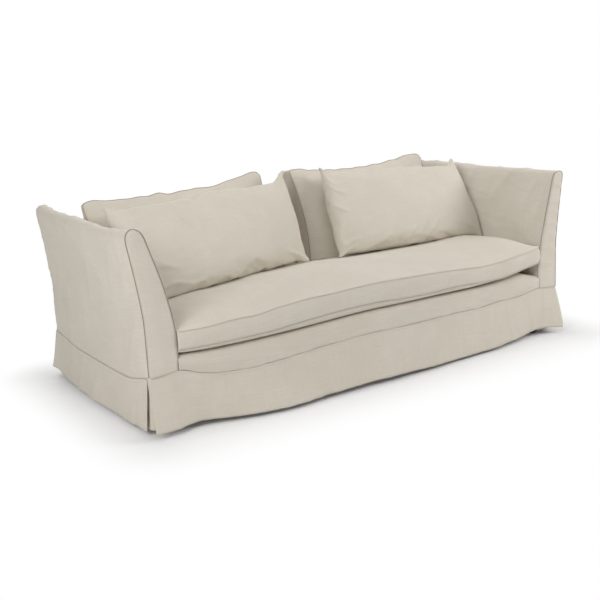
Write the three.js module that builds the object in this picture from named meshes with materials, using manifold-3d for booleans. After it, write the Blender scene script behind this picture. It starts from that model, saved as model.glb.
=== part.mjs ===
import * as THREE from 'three';
import { mergeVertices } from 'three/addons/utils/BufferGeometryUtils.js';
import Module from 'manifold-3d';

// A slipcovered sofa with arms that flare outwards, a serpentine back rail and a bowed seat front.
// Under the loose linen cover stand a hardwood frame, elastic webbing and a foam platform; on the
// platform lie one bench cushion, two back cushions and two pillows. Millimetres, +Z up, front to -Y.

// Driving sizes of the whole sofa
const sofaWidth = 2240;
const sofaDepth = 986;
const armTopHeight = 806;
const backDipHeight = 725;
const backCrownRise = 60;
const frontBow = 40;
const footHeight = 80;
const railHeight = 170;
const platformThickness = 39;
const seamHeight = 231;
const hemHeight = 15;

// Clearances: gap lies between pieces that touch, overrun takes a cut past the face it opens
const gap = 0.3;
const overrun = 20;
const weldDistance = 0.0001;

// Arm: outer and inner faces stand upright below the flare and curve outwards above it
const armThickness = 128;
const armFlare = 50;
const armInnerFlare = 112;
const flareStart = 440;
const innerFlareStart = 380;
const flareCurve = 1.6;
const innerFlareCurve = 1.25;
const armCapRise = 32;
const armFrontLean = 16;
const armCornerRadius = 45;
const armWallSteps = 7;
const armCapSteps = 6;
const armCornerSteps = 3;

// Cover with its wadding, as a wall that wraps the frame
const coverThickness = 14;

// Hardwood frame
const railThickness = 28;
const railLeanRoom = 0.7;
const postThickness = 22;
const armRailWidth = 24;
const armRailDepth = 40;
const armRailDrop = 41;
const backPostThickness = 28;
const backPostDrop = 105;
const backPostInset = 140;
const topRailThickness = 22;
const topRailSetback = 46;
const topRailDrop = 22;
const seatRailHeight = 90;
const seatRailSetback = 18;
const centreRailHeight = 75;
const cornerBlockLeg = 150;
const cornerBlockHeight = 60;

// Elastic webbing
const webbingThickness = 2.5;
const seatWebbingWidth = 80;
const seatWebbingCount = 8;
const seatWebbingEndMargin = 222;
const seatWebbingMargin = 8;
const backWebbingWidth = 60;
const backWebbingFirst = 350;
const backWebbingCount = 3;

// Turned feet and their hanger bolts
const footInsetSide = 105;
const footInsetFront = 68;
const footRadius = 44;
const footNeckRadius = 37;
const footSoleRadius = 29;
const footSoleEase = 4;
const footSegments = 24;
const boltRadius = 5;
const boltBoreRadius = 5.4;
const boltInFoot = 40;
const boltInBlock = 44;
const boltEnd = 2;
const boltSegments = 16;

// Back: an upright outer face and an inside face that leans away from the seat
const backLean = 0.314;
const backRestDepth = 203;
const backRestHeight = 440;
const backOuterLean = 12;
const backCapRise = 40;
const backEndGap = 1;
const backCapSteps = 6;
const backStations = 20;
const dipShare = 0.85;
const endRise = 20;

// Skirt: cloth panels that hang from the seam, with a kick pleat at each corner
const skirtThickness = 5;
const skirtSlit = 6;
const frontHemFlare = 67;
const sideHemFlare = 18;
const backHemFlare = 16;
const skirtRows = 4;
const skirtFallCurve = 1.3;
const sideFoldDepth = 6;
const sideFolds = 2.5;
const backFolds = 4;
const pleatLeg = 106;
const pleatThickness = 4;
const pleatRise = 8;
const pleatDrop = 5;

// Bench seat cushion
const seatEndGap = 3;
const seatFrontSetback = -8;
const seatSeamLift = 105;
const seatSeamRise = 50;
const seatRearSeamLift = 96;
const seatBottomSeamLift = 12;
const seatBottomRise = 60;
const seatCrown = 50;
const seatPeakSetback = 243;
const seatCrownCurve = 2.4;
const seatEndCurve = 12;
const seatBoxingBulge = 9;
const seatCornerEase = 14;
const seatUndercut = 90;

// Back cushions, boxed, leaning on the inside back. Heights are counted from the seat platform,
// and each cushion stands off from its arm and from the middle of the sofa.
const backCushionFootLift = 106;
const backCushionSeamDepth = 172;
const backCushionTopDepth = 146;
const backCushionRearSeam = 26;
const backCushionCrown = 26;
const backCushionBulge = 8;
const backCushionSideDraw = 12;
const leftCushion = { endGap: 2, middleGap: 108, outerTop: 510, innerTop: 570, sag: 12 };
const rightCushion = { endGap: 56, middleGap: 46, innerTop: 570, outerTop: 576, sag: 24 };

// Knife-edged lumbar pillows, given by their corners: inset from the arm for an outer corner and
// from the sofa's middle for an inner one, fromBack from the outside back, lift above the platform
const pillowSeam = 3;
const pillowFront = 78;
const pillowRear = 96;
const pillowEdgeDraw = 26;
const pillowPuff = 2.6;
const leftPillow = {
  outerBottom: { inset: 67, fromBack: 686, lift: 132 },
  innerBottom: { inset: 27, fromBack: 460, lift: 145 },
  outerTop: { inset: 32, fromBack: 330, lift: 499 },
  innerTop: { inset: 67, fromBack: 298, lift: 579 },
};
const rightPillow = {
  outerBottom: { inset: 2, fromBack: 560, lift: 135 },
  innerBottom: { inset: 123, fromBack: 514, lift: 145 },
  outerTop: { inset: -48, fromBack: 316, lift: 541 },
  innerTop: { inset: 175, fromBack: 298, lift: 571 },
};

// Heights and half widths that follow from the driving sizes
const railTop = footHeight + railHeight;
const platformBase = railTop + webbingThickness + 2 * gap;
const platformTop = platformBase + platformThickness;
const seatRest = platformTop + gap;
const armInnerHalf = sofaWidth / 2 - armThickness;
const frontFace = -sofaDepth / 2;
const backFace = sofaDepth / 2;
const railSetback = coverThickness + gap;
const railOuterX = sofaWidth / 2 - railSetback;
const railInnerX = railOuterX - railThickness;
const railFrontY = frontFace + railSetback + railLeanRoom;
const railBackY = backFace - railSetback;
const backCrownHeight = backDipHeight + backCrownRise;
const backPostHeight = backDipHeight - backPostDrop;
const frontRailInnerY = railFrontY + railThickness;
const backRailInnerY = railBackY - railThickness;

const linen = { color: 0xcfc6b5, roughness: 0.95, metalness: 0 };
const wadding = { color: 0xe6e1d6, roughness: 1, metalness: 0 };
const hardwood = { color: 0xb98f5e, roughness: 0.7, metalness: 0 };
const darkWood = { color: 0x241a15, roughness: 0.45, metalness: 0 };
const webbing = { color: 0x3a3733, roughness: 0.9, metalness: 0 };
const steel = { color: 0x9a9da0, roughness: 0.35, metalness: 1 };

const wasm = await Module();
wasm.setup();
const sofa = new THREE.Group();

function mix(from, to, share) {
  return from + (to - from) * share;
}

// Values of a smooth curve through a few hand-chosen [place, value] pairs
function smoothThrough(pairs, place) {
  let index = 0;
  while (index < pairs.length - 2 && place > pairs[index + 1][0]) index += 1;
  const [fromPlace, fromValue] = pairs[index];
  const [toPlace, toValue] = pairs[index + 1];
  const share = Math.min(1, Math.max(0, (place - fromPlace) / (toPlace - fromPlace)));
  return mix(fromValue, toValue, share * share * (3 - 2 * share));
}

function addPiece(name, geometry, finish) {
  const mesh = new THREE.Mesh(geometry, new THREE.MeshStandardMaterial(finish));
  mesh.name = name;
  sofa.add(mesh);
  return mesh;
}

function solidOf(geometry) {
  const bare = geometry.clone();
  bare.deleteAttribute('normal');
  bare.deleteAttribute('uv');
  const welded = mergeVertices(bare, weldDistance);
  return new wasm.Manifold(new wasm.Mesh({
    numProp: 3,
    vertProperties: Float32Array.from(welded.attributes.position.array),
    triVerts: Uint32Array.from(welded.index.array),
  }));
}

function geometryOf(solid) {
  const mesh = solid.getMesh();
  const geometry = new THREE.BufferGeometry();
  geometry.setAttribute('position', new THREE.BufferAttribute(mesh.vertProperties, 3));
  geometry.setIndex(new THREE.BufferAttribute(mesh.triVerts, 1));
  geometry.computeVertexNormals();
  return geometry;
}

// The largest body that is left after a cut
function largestOf(solid) {
  const bodies = solid.decompose();
  return bodies.reduce((best, body) => (body.volume() > best.volume() ? body : best));
}

// Triangles that close a ring, laid to and fro between its two long lines. They run the ring's own
// way round, or the other way where reversed.
function capFaces(count, reversed) {
  const faces = [];
  for (let low = 0, high = count - 1; low + 1 < high; low += 1, high -= 1) {
    faces.push([low, low + 1, high]);
    if (low + 1 < high - 1) faces.push([low + 1, high - 1, high]);
  }
  return faces.flatMap(([a, b, c]) => (reversed ? [a, c, b] : [a, b, c]));
}

function signedVolume(points, faces) {
  let volume = 0;
  for (let index = 0; index < faces.length; index += 3) {
    const [a, b, c] = [0, 1, 2].map((corner) => points[faces[index + corner]]);
    volume += a.dot(new THREE.Vector3().crossVectors(b, c));
  }
  return volume;
}

// A closed solid through matching rings of points, with both ends closed
function loft(rings) {
  const count = rings[0].length;
  const points = rings.flat();
  const faces = [];
  for (let ring = 0; ring + 1 < rings.length; ring += 1) {
    for (let step = 0; step < count; step += 1) {
      const a = ring * count + step;
      const b = ring * count + ((step + 1) % count);
      faces.push(a, b, b + count, a, b + count, a + count);
    }
  }
  const last = (rings.length - 1) * count;
  faces.push(...capFaces(count, true));
  faces.push(...capFaces(count, false).map((index) => index + last));
  if (signedVolume(points, faces) < 0) faces.reverse();
  const geometry = new THREE.BufferGeometry();
  geometry.setAttribute(
    'position',
    new THREE.Float32BufferAttribute(points.flatMap((point) => point.toArray()), 3),
  );
  geometry.setIndex(faces);
  geometry.computeVertexNormals();
  return geometry;
}

// A board or strap between two corners
function boxBetween(low, high) {
  const [lowX, lowY, lowZ] = low;
  const [highX, highY, highZ] = high;
  const geometry = new THREE.BoxGeometry(highX - lowX, highY - lowY, highZ - lowZ);
  geometry.translate((lowX + highX) / 2, (lowY + highY) / 2, (lowZ + highZ) / 2);
  return geometry;
}

// The same, on the left (-1) or right (1) half of the sofa, with x measured from the middle
function boxOnSide(side, low, high) {
  const [nearX, lowY, lowZ] = low;
  const [farX, highY, highZ] = high;
  const fromX = Math.min(side * nearX, side * farX);
  const toX = Math.max(side * nearX, side * farX);
  return boxBetween([fromX, lowY, lowZ], [toX, highY, highZ]);
}

// How far the seat front stands proud of the arms at a place across the sofa
function bowAt(x) {
  return frontBow * Math.max(0, 1 - (x / armInnerHalf) ** 2);
}

function stationsBetween(from, to, steps) {
  return Array.from({ length: steps + 1 }, (unused, index) => mix(from, to, index / steps));
}

// Feet: turned hardwood buns, each on a hanger bolt that screws into a corner block
function footGeometry() {
  const top = footHeight - gap;
  const profile = [
    [0, 0],
    [footSoleRadius, 0],
    [footSoleRadius + footSoleEase, footSoleEase],
    [mix(footSoleRadius, footRadius, 0.75), footHeight * 0.3],
    [footRadius, footHeight * 0.6],
    [mix(footRadius, footNeckRadius, 0.5), footHeight * 0.8],
    [footNeckRadius, footHeight * 0.9],
    [footNeckRadius, top],
    [boltBoreRadius, top],
    [boltBoreRadius, footHeight - boltInFoot - boltEnd],
    [0, footHeight - boltInFoot - boltEnd],
  ];
  const geometry = new THREE.LatheGeometry(
    profile.map(([radius, height]) => new THREE.Vector2(radius, height)),
    footSegments,
  );
  geometry.rotateX(Math.PI / 2);
  return geometry;
}

function boltGeometry() {
  const geometry = new THREE.CylinderGeometry(
    boltRadius, boltRadius, boltInFoot + boltInBlock, boltSegments,
  );
  geometry.rotateX(Math.PI / 2);
  geometry.translate(0, 0, footHeight + (boltInBlock - boltInFoot) / 2);
  return geometry;
}

// A glue block in a corner of the rails, bored for the foot's bolt
function cornerBlock(side, end) {
  const cornerX = railInnerX - gap;
  const cornerY = (end < 0 ? -frontRailInnerY : backRailInnerY) - gap;
  const base = footHeight;
  const corners = [
    [cornerX, cornerY],
    [cornerX - cornerBlockLeg, cornerY],
    [cornerX, cornerY - cornerBlockLeg],
  ];
  const ringAt = (height) => corners.map(([x, y]) => new THREE.Vector3(side * x, end * y, height));
  const block = solidOf(loft([ringAt(base), ringAt(base + cornerBlockHeight)]));
  const bore = new THREE.CylinderGeometry(
    boltBoreRadius, boltBoreRadius, boltInBlock + boltEnd + overrun, boltSegments,
  );
  bore.rotateX(Math.PI / 2);
  bore.translate(
    side * (sofaWidth / 2 - footInsetSide),
    end * (backFace - footInsetFront),
    base + (boltInBlock + boltEnd - overrun) / 2,
  );
  return geometryOf(block.subtract(solidOf(bore)));
}

const sides = { left: -1, right: 1 };
const ends = { front: -1, back: 1 };

for (const [endName, end] of Object.entries(ends)) {
  for (const [sideName, side] of Object.entries(sides)) {
    const footX = side * (sofaWidth / 2 - footInsetSide);
    const footY = end * (backFace - footInsetFront);
    const foot = addPiece(`foot_${endName}_${sideName}`, footGeometry(), darkWood);
    foot.position.set(footX, footY, 0);
    const bolt = addPiece(`foot_bolt_${endName}_${sideName}`, boltGeometry(), steel);
    bolt.position.set(footX, footY, 0);
    addPiece(`corner_block_${endName}_${sideName}`, cornerBlock(side, end), hardwood);
  }
}

// Base rails: two sides, a bowed front, a back, a seat rail under the inside back and a centre tie.
// The side and back rails stop where the cover rounds the rear corners.
const sideRailBackY = backFace - armCornerRadius;
const backRailEndX = sofaWidth / 2 - armCornerRadius - gap;
for (const [sideName, side] of Object.entries(sides)) {
  addPiece(
    `side_rail_${sideName}`,
    boxOnSide(side, [railInnerX, railFrontY, footHeight], [railOuterX, sideRailBackY, railTop]),
    hardwood,
  );
}

const railEndX = railInnerX - gap;

const frontRailPlaces = [
  -railEndX,
  ...stationsBetween(-armInnerHalf, armInnerHalf, backStations),
  railEndX,
];
const frontRailRings = frontRailPlaces.map((x) => [
  new THREE.Vector3(x, railFrontY - bowAt(x), footHeight),
  new THREE.Vector3(x, frontRailInnerY, footHeight),
  new THREE.Vector3(x, frontRailInnerY, railTop),
  new THREE.Vector3(x, railFrontY - bowAt(x), railTop),
]);
addPiece('front_rail', loft(frontRailRings), hardwood);

addPiece(
  'back_rail',
  boxBetween([-backRailEndX, backRailInnerY, footHeight], [backRailEndX, railBackY, railTop]),
  hardwood,
);

// Where the inside face of the back lies, at a height
function insideBackY(height) {
  return backFace - backRestDepth + (height - backRestHeight) * backLean;
}

const seatRailFrontY = insideBackY(railTop) + seatRailSetback;
addPiece(
  'seat_rail',
  boxBetween(
    [-railEndX, seatRailFrontY, railTop - seatRailHeight],
    [railEndX, seatRailFrontY + railThickness, railTop],
  ),
  hardwood,
);
addPiece(
  'centre_rail',
  boxBetween(
    [-railThickness / 2, frontRailInnerY + gap, footHeight],
    [railThickness / 2, backRailInnerY - gap, footHeight + centreRailHeight],
  ),
  hardwood,
);

// Elastic webbing, stretched from the front rail to the seat rail
const seatWebbingPitch = 2 * (armInnerHalf - seatWebbingEndMargin) / (seatWebbingCount - 1);
for (let index = 0; index < seatWebbingCount; index += 1) {
  const middle = (index - (seatWebbingCount - 1) / 2) * seatWebbingPitch;
  addPiece(
    `seat_webbing_${index + 1}`,
    boxBetween(
      [middle - seatWebbingWidth / 2, railFrontY + seatWebbingMargin, railTop + gap],
      [
        middle + seatWebbingWidth / 2,
        seatRailFrontY + railThickness - seatWebbingMargin,
        railTop + gap + webbingThickness,
      ],
    ),
    webbing,
  );
}

// Seat platform: foam and hessian over the webbing, with the bowed front of the rail
const platformPlaces = stationsBetween(-armInnerHalf + gap, armInnerHalf - gap, backStations);
const platformRings = platformPlaces.map((x) => [
  new THREE.Vector3(x, railFrontY - bowAt(x), platformBase),
  new THREE.Vector3(x, insideBackY(platformBase) - gap, platformBase),
  new THREE.Vector3(x, insideBackY(platformTop) - gap, platformTop),
  new THREE.Vector3(x, railFrontY - bowAt(x), platformTop),
]);
addPiece('seat_platform', loft(platformRings), wadding);

// Front band of the cover, from the skirt seam up to the platform
const bandRings = platformPlaces.map((x) => [
  new THREE.Vector3(x, frontFace - bowAt(x), seamHeight + gap),
  new THREE.Vector3(x, frontFace - bowAt(x) + coverThickness, seamHeight + gap),
  new THREE.Vector3(x, frontFace - bowAt(x) + coverThickness, platformTop),
  new THREE.Vector3(x, frontFace - bowAt(x), platformTop),
]);
addPiece('front_band_cover', loft(bandRings), linen);

// Arms
function flareShare(height, start) {
  return Math.max(0, (height - start) / (armTopHeight - start));
}

function armOuterX(height) {
  return sofaWidth / 2 + armFlare * flareShare(height, flareStart) ** flareCurve;
}

function armInnerX(height) {
  return armInnerHalf + armInnerFlare * flareShare(height, innerFlareStart) ** innerFlareCurve;
}

function armFrontY(height) {
  return frontFace + armFrontLean * flareShare(height, seamHeight);
}

// Outline of the arm from the front, [x, height] pairs, from the outer foot over the top and down.
// inset draws every face in; cornerInset draws in the outer face alone.
function armOutline(inset, outerBottom, innerBottom, cornerInset = 0) {
  const springHeight = armTopHeight - armCapRise;
  const outerSpring = armOuterX(springHeight) - inset - cornerInset;
  const innerSpring = armInnerX(springHeight) + inset;
  const capMiddle = (outerSpring + innerSpring) / 2;
  const capHalf = (outerSpring - innerSpring) / 2;
  const outline = [outerBottom, ...stationsBetween(flareStart, springHeight, armWallSteps)]
    .map((height) => [armOuterX(height) - inset - cornerInset, height]);
  for (let step = 1; step < armCapSteps; step += 1) {
    const angle = (Math.PI * step) / armCapSteps;
    outline.push([
      capMiddle + capHalf * Math.cos(angle),
      springHeight + (armCapRise - inset) * Math.sin(angle),
    ]);
  }
  [...stationsBetween(springHeight, innerFlareStart, armWallSteps), innerBottom]
    .forEach((height) => outline.push([armInnerX(height) + inset, height]));
  outline.push([armInnerX(innerBottom) + inset + coverThickness, innerBottom]);
  return outline;
}

function armRing(side, outline, depthAt) {
  return outline.map(([x, height]) => new THREE.Vector3(side * x, depthAt(height), height));
}

// Rings that take an arm round its rear corner, at a radius about the corner's own centre
function armCornerRings(side, radius, outlineAt) {
  const cornerY = backFace - armCornerRadius;
  return stationsBetween(0, Math.PI / 2, armCornerSteps).map((angle) => armRing(
    side,
    outlineAt(radius * (1 - Math.cos(angle))),
    () => cornerY + radius * Math.sin(angle),
  ));
}

function armCover(side) {
  const outerBottom = seamHeight + gap;
  const body = loft([
    armRing(
      side,
      armOutline(0, outerBottom, platformBase),
      (height) => armFrontY(height) + coverThickness + gap,
    ),
    ...armCornerRings(
      side,
      armCornerRadius,
      (cornerInset) => armOutline(0, outerBottom, platformBase, cornerInset),
    ),
  ]);
  const hollowBottom = seamHeight - overrun;
  const hollow = loft([
    armRing(
      side,
      armOutline(coverThickness, hollowBottom, hollowBottom),
      (height) => armFrontY(height) - overrun,
    ),
    ...armCornerRings(
      side,
      armCornerRadius - coverThickness,
      (cornerInset) => armOutline(coverThickness, hollowBottom, hollowBottom, cornerInset),
    ),
  ]);
  return geometryOf(largestOf(solidOf(body).subtract(solidOf(hollow))));
}

function armFrontPanel(side) {
  const outline = armOutline(0, seamHeight + gap, seamHeight + gap);
  return loft([
    armRing(side, outline, (height) => armFrontY(height)),
    armRing(side, outline, (height) => armFrontY(height) + coverThickness),
  ]);
}

const postFrontSetback = coverThickness + gap;
const postInset = coverThickness + gap;
const armBackPostY = sideRailBackY - postThickness;

for (const [sideName, side] of Object.entries(sides)) {
  addPiece(`arm_cover_${sideName}`, armCover(side), linen);
  addPiece(`arm_front_panel_${sideName}`, armFrontPanel(side), linen);

  const postOutline = armOutline(postInset, railTop + gap, railTop + gap);
  const frontPost = loft([
    armRing(side, postOutline, (height) => armFrontY(height) + postFrontSetback),
    armRing(
      side,
      postOutline,
      (height) => armFrontY(height) + postFrontSetback + postThickness,
    ),
  ]);
  addPiece(`arm_front_post_${sideName}`, frontPost, hardwood);

  const backPost = loft([
    armRing(side, postOutline, () => armBackPostY),
    armRing(side, postOutline, () => armBackPostY + postThickness),
  ]);
  addPiece(`arm_back_post_${sideName}`, backPost, hardwood);

  const armRailTop = armTopHeight - armRailDrop;
  const armRailBottom = armRailTop - armRailDepth;
  const armRailInner = armInnerX(armRailTop) + postInset;
  const armRailOuter = armOuterX(armRailBottom) - postInset;
  const armRailMiddle = (armRailInner + armRailOuter) / 2;
  const armRailFrontY = armFrontY(armRailTop) + postFrontSetback + postThickness + gap;
  addPiece(
    `arm_top_rail_${sideName}`,
    boxOnSide(
      side,
      [armRailMiddle - armRailWidth / 2, armRailFrontY, armRailBottom],
      [armRailMiddle + armRailWidth / 2, armBackPostY - gap, armRailTop],
    ),
    hardwood,
  );
}

// Back: its top line dips beside the arms and rises to a crown in the middle
function backTopHeight(share) {
  const away = Math.abs(share);
  if (away > dipShare) {
    return backDipHeight + endRise * ((away - dipShare) / (1 - dipShare)) ** 2;
  }
  const swell = (1 + Math.cos((Math.PI * away) / dipShare)) / 2;
  return backDipHeight + (backCrownHeight - backDipHeight) * swell;
}

function outsideBackY(height) {
  return backFace - backOuterLean * flareShare(height, railTop);
}

// Heights at which the arm's inner face is cut, below the lowest part of the back's top
const innerFaceHeights = stationsBetween(
  innerFlareStart, armTopHeight - armCapRise, armWallSteps,
).filter((height) => height < backDipHeight - backCapRise);

// Outline of the back from the side, [y, height] pairs, up the outer face and down the inside
function backOutline(topHeight, inset, outerBottom, innerBottom) {
  const springHeight = topHeight - backCapRise;
  const outerSpring = outsideBackY(springHeight) - inset;
  const innerSpring = insideBackY(springHeight) + inset;
  const capMiddle = (outerSpring + innerSpring) / 2;
  const capHalf = (outerSpring - innerSpring) / 2;
  const outline = [outerBottom, railTop, ...innerFaceHeights, springHeight]
    .map((height) => [outsideBackY(height) - inset, height]);
  for (let step = 1; step < backCapSteps; step += 1) {
    const angle = (Math.PI * step) / backCapSteps;
    outline.push([
      capMiddle + capHalf * Math.cos(angle),
      springHeight + (backCapRise - inset) * Math.sin(angle),
    ]);
  }
  [springHeight, ...[...innerFaceHeights].reverse(), innerBottom]
    .forEach((height) => outline.push([insideBackY(height) + inset, height]));
  outline.push([insideBackY(innerBottom) + inset + coverThickness, innerBottom]);
  return outline;
}

// The back's width follows the flare of the arms that it stands between
function backRing(share, outline, reach = 0) {
  return outline.map(([y, height]) => {
    const half = armInnerX(height) - backEndGap + reach;
    return new THREE.Vector3(share * half, y, height);
  });
}

const backShares = stationsBetween(-1, 1, backStations);
const backBody = loft(backShares.map((share) => backRing(
  share,
  backOutline(backTopHeight(share), 0, seamHeight + gap, platformBase),
)));
const backHollow = loft(backShares.map((share) => backRing(
  share,
  backOutline(
    backTopHeight(share), coverThickness, seamHeight - overrun, seamHeight - overrun,
  ),
  overrun,
)));
addPiece(
  'back_cover',
  geometryOf(largestOf(solidOf(backBody).subtract(solidOf(backHollow)))),
  linen,
);

// Back posts stand on the back rail and the seat rail; webbing crosses their front edges
const strapInset = coverThickness + gap;
const backPostFrontInset = strapInset + webbingThickness + gap;
const backPostX = armInnerHalf - backPostInset;
const backPostPlaces = { left: -backPostX, centre: 0, right: backPostX };
for (const [placeName, x] of Object.entries(backPostPlaces)) {
  const bottom = railTop + gap;
  const profile = [
    [insideBackY(bottom) + backPostFrontInset, bottom],
    [railBackY, bottom],
    [outsideBackY(backPostHeight) - railSetback, backPostHeight],
    [insideBackY(backPostHeight) + backPostFrontInset, backPostHeight],
  ];
  const ringAt = (place) => profile.map(([y, height]) => new THREE.Vector3(place, y, height));
  addPiece(
    `back_post_${placeName}`,
    loft([ringAt(x - backPostThickness / 2), ringAt(x + backPostThickness / 2)]),
    hardwood,
  );
}

const backWebbingReach = backPostHeight - backWebbingWidth - backWebbingFirst;
const backWebbingPitch = backWebbingReach / (backWebbingCount - 1);
for (let index = 0; index < backWebbingCount; index += 1) {
  const low = backWebbingFirst + index * backWebbingPitch;
  const high = low + backWebbingWidth;
  const profile = [
    [insideBackY(low) + strapInset, low],
    [insideBackY(low) + strapInset + webbingThickness, low],
    [insideBackY(high) + strapInset + webbingThickness, high],
    [insideBackY(high) + strapInset, high],
  ];
  const ringAt = (place) => profile.map(([y, height]) => new THREE.Vector3(place, y, height));
  const reach = backPostX + backPostThickness / 2;
  addPiece(`back_webbing_${index + 1}`, loft([ringAt(-reach), ringAt(reach)]), webbing);
}

// Top rail, sawn to the serpentine line and fixed on the posts
const topRailBottom = backPostHeight + gap;
const topRailHalf = armInnerX(topRailBottom) - railSetback;
const topRailBackY = backFace - topRailSetback;
const topRailRings = backShares.map((share) => {
  const x = share * topRailHalf;
  const top = backTopHeight(x / armInnerX(backDipHeight)) - topRailDrop;
  return [
    new THREE.Vector3(x, topRailBackY - topRailThickness, topRailBottom),
    new THREE.Vector3(x, topRailBackY, topRailBottom),
    new THREE.Vector3(x, topRailBackY, top),
    new THREE.Vector3(x, topRailBackY - topRailThickness, top),
  ];
});
addPiece('back_top_rail', loft(topRailRings), hardwood);

// Skirt. Each ring is a cut down through the cloth: outward is how far the outer side stands off.
function skirtRing(outwardAt, placeAt) {
  const heights = stationsBetween(seamHeight, hemHeight, skirtRows);
  const drop = seamHeight - hemHeight;
  const fall = (height) => ((seamHeight - height) / drop) ** skirtFallCurve;
  const outer = heights.map((height) => placeAt(outwardAt(fall(height)), height));
  const inner = heights.map((height) => placeAt(outwardAt(fall(height)) - skirtThickness, height));
  return [...outer, ...inner.reverse()];
}

// How the front hem swings out across the sofa, as shares of its fullest fold
const frontFoldShares = [
  [-1, 0.84], [-0.93, 0.62], [-0.84, 0.2], [-0.73, 0.46], [-0.62, 0.8], [-0.5, 1],
  [-0.35, 0.76], [-0.08, 0.6], [0.14, 0.55], [0.45, 0.42], [0.64, 0.4], [0.86, 0.12], [1, 0.58],
];
const frontSkirtHalf = sofaWidth / 2 - skirtSlit;
const frontSkirtSteps = 40;
const frontSkirtRings = stationsBetween(-1, 1, frontSkirtSteps).map((share) => {
  const x = share * frontSkirtHalf;
  const swing = frontHemFlare * smoothThrough(frontFoldShares, share);
  return skirtRing(
    (fall) => swing * fall,
    (outward, height) => new THREE.Vector3(x, frontFace - bowAt(x) - outward, height),
  );
});
addPiece('skirt_front', loft(frontSkirtRings), linen);

const backSkirtSteps = 24;
const backSkirtRings = stationsBetween(-1, 1, backSkirtSteps).map((share) => {
  const fold = sideFoldDepth * Math.cos(2 * Math.PI * backFolds * share);
  return skirtRing(
    (fall) => (backHemFlare + fold) * fall,
    (outward, height) => new THREE.Vector3(share * frontSkirtHalf, backFace + outward, height),
  );
});
addPiece('skirt_back', loft(backSkirtRings), linen);

const sideSkirtSteps = 14;
const sideSkirtHalf = sofaDepth / 2 - skirtSlit;
for (const [sideName, side] of Object.entries(sides)) {
  const rings = stationsBetween(-1, 1, sideSkirtSteps).map((share) => {
    const fold = sideFoldDepth * Math.cos(2 * Math.PI * sideFolds * share);
    return skirtRing(
      (fall) => (sideHemFlare + fold) * fall,
      (outward, height) => new THREE.Vector3(
        side * (sofaWidth / 2 + outward), share * sideSkirtHalf, height,
      ),
    );
  });
  addPiece(`skirt_${sideName}`, loft(rings), linen);
}

// Kick pleats: an angle of cloth behind each corner slit, tacked to the rails
for (const [endName, end] of Object.entries(ends)) {
  for (const [sideName, side] of Object.entries(sides)) {
    const nearX = railOuterX + gap;
    const nearY = railBackY + gap;
    const farX = nearX + pleatThickness;
    const farY = nearY + pleatThickness;
    const plan = [
      [farX, farY - pleatLeg], [farX, farY], [farX - pleatLeg, farY],
      [farX - pleatLeg, nearY], [nearX, nearY], [nearX, farY - pleatLeg],
    ];
    const ringAt = (height) => plan.map(([x, y]) => new THREE.Vector3(side * x, end * y, height));
    addPiece(
      `pleat_${endName}_${sideName}`,
      loft([ringAt(hemHeight + pleatRise), ringAt(seamHeight - pleatDrop)]),
      linen,
    );
  }
}

// Bench seat cushion, made of cuts across its depth. The front seams rise and fall along its length.
const seatTopSeamShares = [
  [-1, 0], [-0.75, 0.1], [-0.5, 0.2], [-0.3, 0.65], [-0.05, 1],
  [0.22, 0.85], [0.52, 0.45], [0.74, 0.55], [0.88, 0.9], [1, 0.85],
];
const seatBottomSeamShares = [
  [-1, 0], [-0.5, 0], [-0.3, 0.2], [0, 0.33], [0.25, 0.38], [0.55, 0.3], [0.75, 0.42], [1, 1],
];
const seatEndShares = [0.995, 0.975, 0.93, 0.86, 0.76, 0.64, 0.5, 0.34, 0.17];
const seatRows = 9;

const seatHalf = armInnerHalf - seatEndGap;
const seatRearSeamHeight = seatRest + seatRearSeamLift;
const seatPeakY = frontFace + seatPeakSetback;

function seatTopHeight(share, y, frontY, rearY) {
  const frontSeam = seatRest + seatSeamLift + seatSeamRise * smoothThrough(seatTopSeamShares, share);
  const base = mix(frontSeam, seatRearSeamHeight, (y - frontY) / (rearY - frontY));
  const reach = y < seatPeakY ? seatPeakY - frontY : rearY - seatPeakY;
  const crown = 1 - (Math.abs(y - seatPeakY) / reach) ** seatCrownCurve;
  return base + seatCrown * crown * (1 - Math.abs(share) ** seatEndCurve);
}

function seatBottomHeight(share, y, frontY) {
  const lift = seatBottomSeamLift + seatBottomRise * smoothThrough(seatBottomSeamShares, share);
  const near = Math.max(0, 1 - (y - frontY) / seatUndercut);
  const endLift = seatBottomSeamLift * Math.abs(share) ** seatEndCurve;
  return seatRest + Math.max(lift * near ** 2, endLift);
}

function seatRing(share) {
  const x = share * seatHalf;
  const ease = seatCornerEase * Math.abs(share) ** seatEndCurve;
  const frontY = frontFace + seatFrontSetback - frontBow * (1 - share ** 2) + ease;
  const bulge = mix(seatBoxingBulge, seatEndGap, Math.abs(share) ** seatEndCurve);
  const topRearY = insideBackY(seatRearSeamHeight) - gap - seatEndGap;
  const bottomRearY = insideBackY(seatRest) - gap - seatEndGap;
  const topLine = stationsBetween(frontY, topRearY, seatRows);
  const bottomLine = stationsBetween(bottomRearY, frontY, seatRows);
  const top = topLine.map((y) => [y, seatTopHeight(share, y, frontY, topRearY)]);
  const bottom = bottomLine.map((y) => [y, seatBottomHeight(share, y, frontY)]);
  const frontMiddle = (top[0][1] + bottom[seatRows][1]) / 2;
  return [...top, ...bottom, [frontY - bulge, frontMiddle]]
    .map(([y, height]) => new THREE.Vector3(x, y, height));
}

const seatPlaces = [...seatEndShares.map((share) => -share), 0, ...[...seatEndShares].reverse()];
const seatCushion = solidOf(loft([-1, ...seatPlaces, 1].map(seatRing)));
addPiece('seat_cushion', geometryOf(seatCushion), linen);

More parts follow.
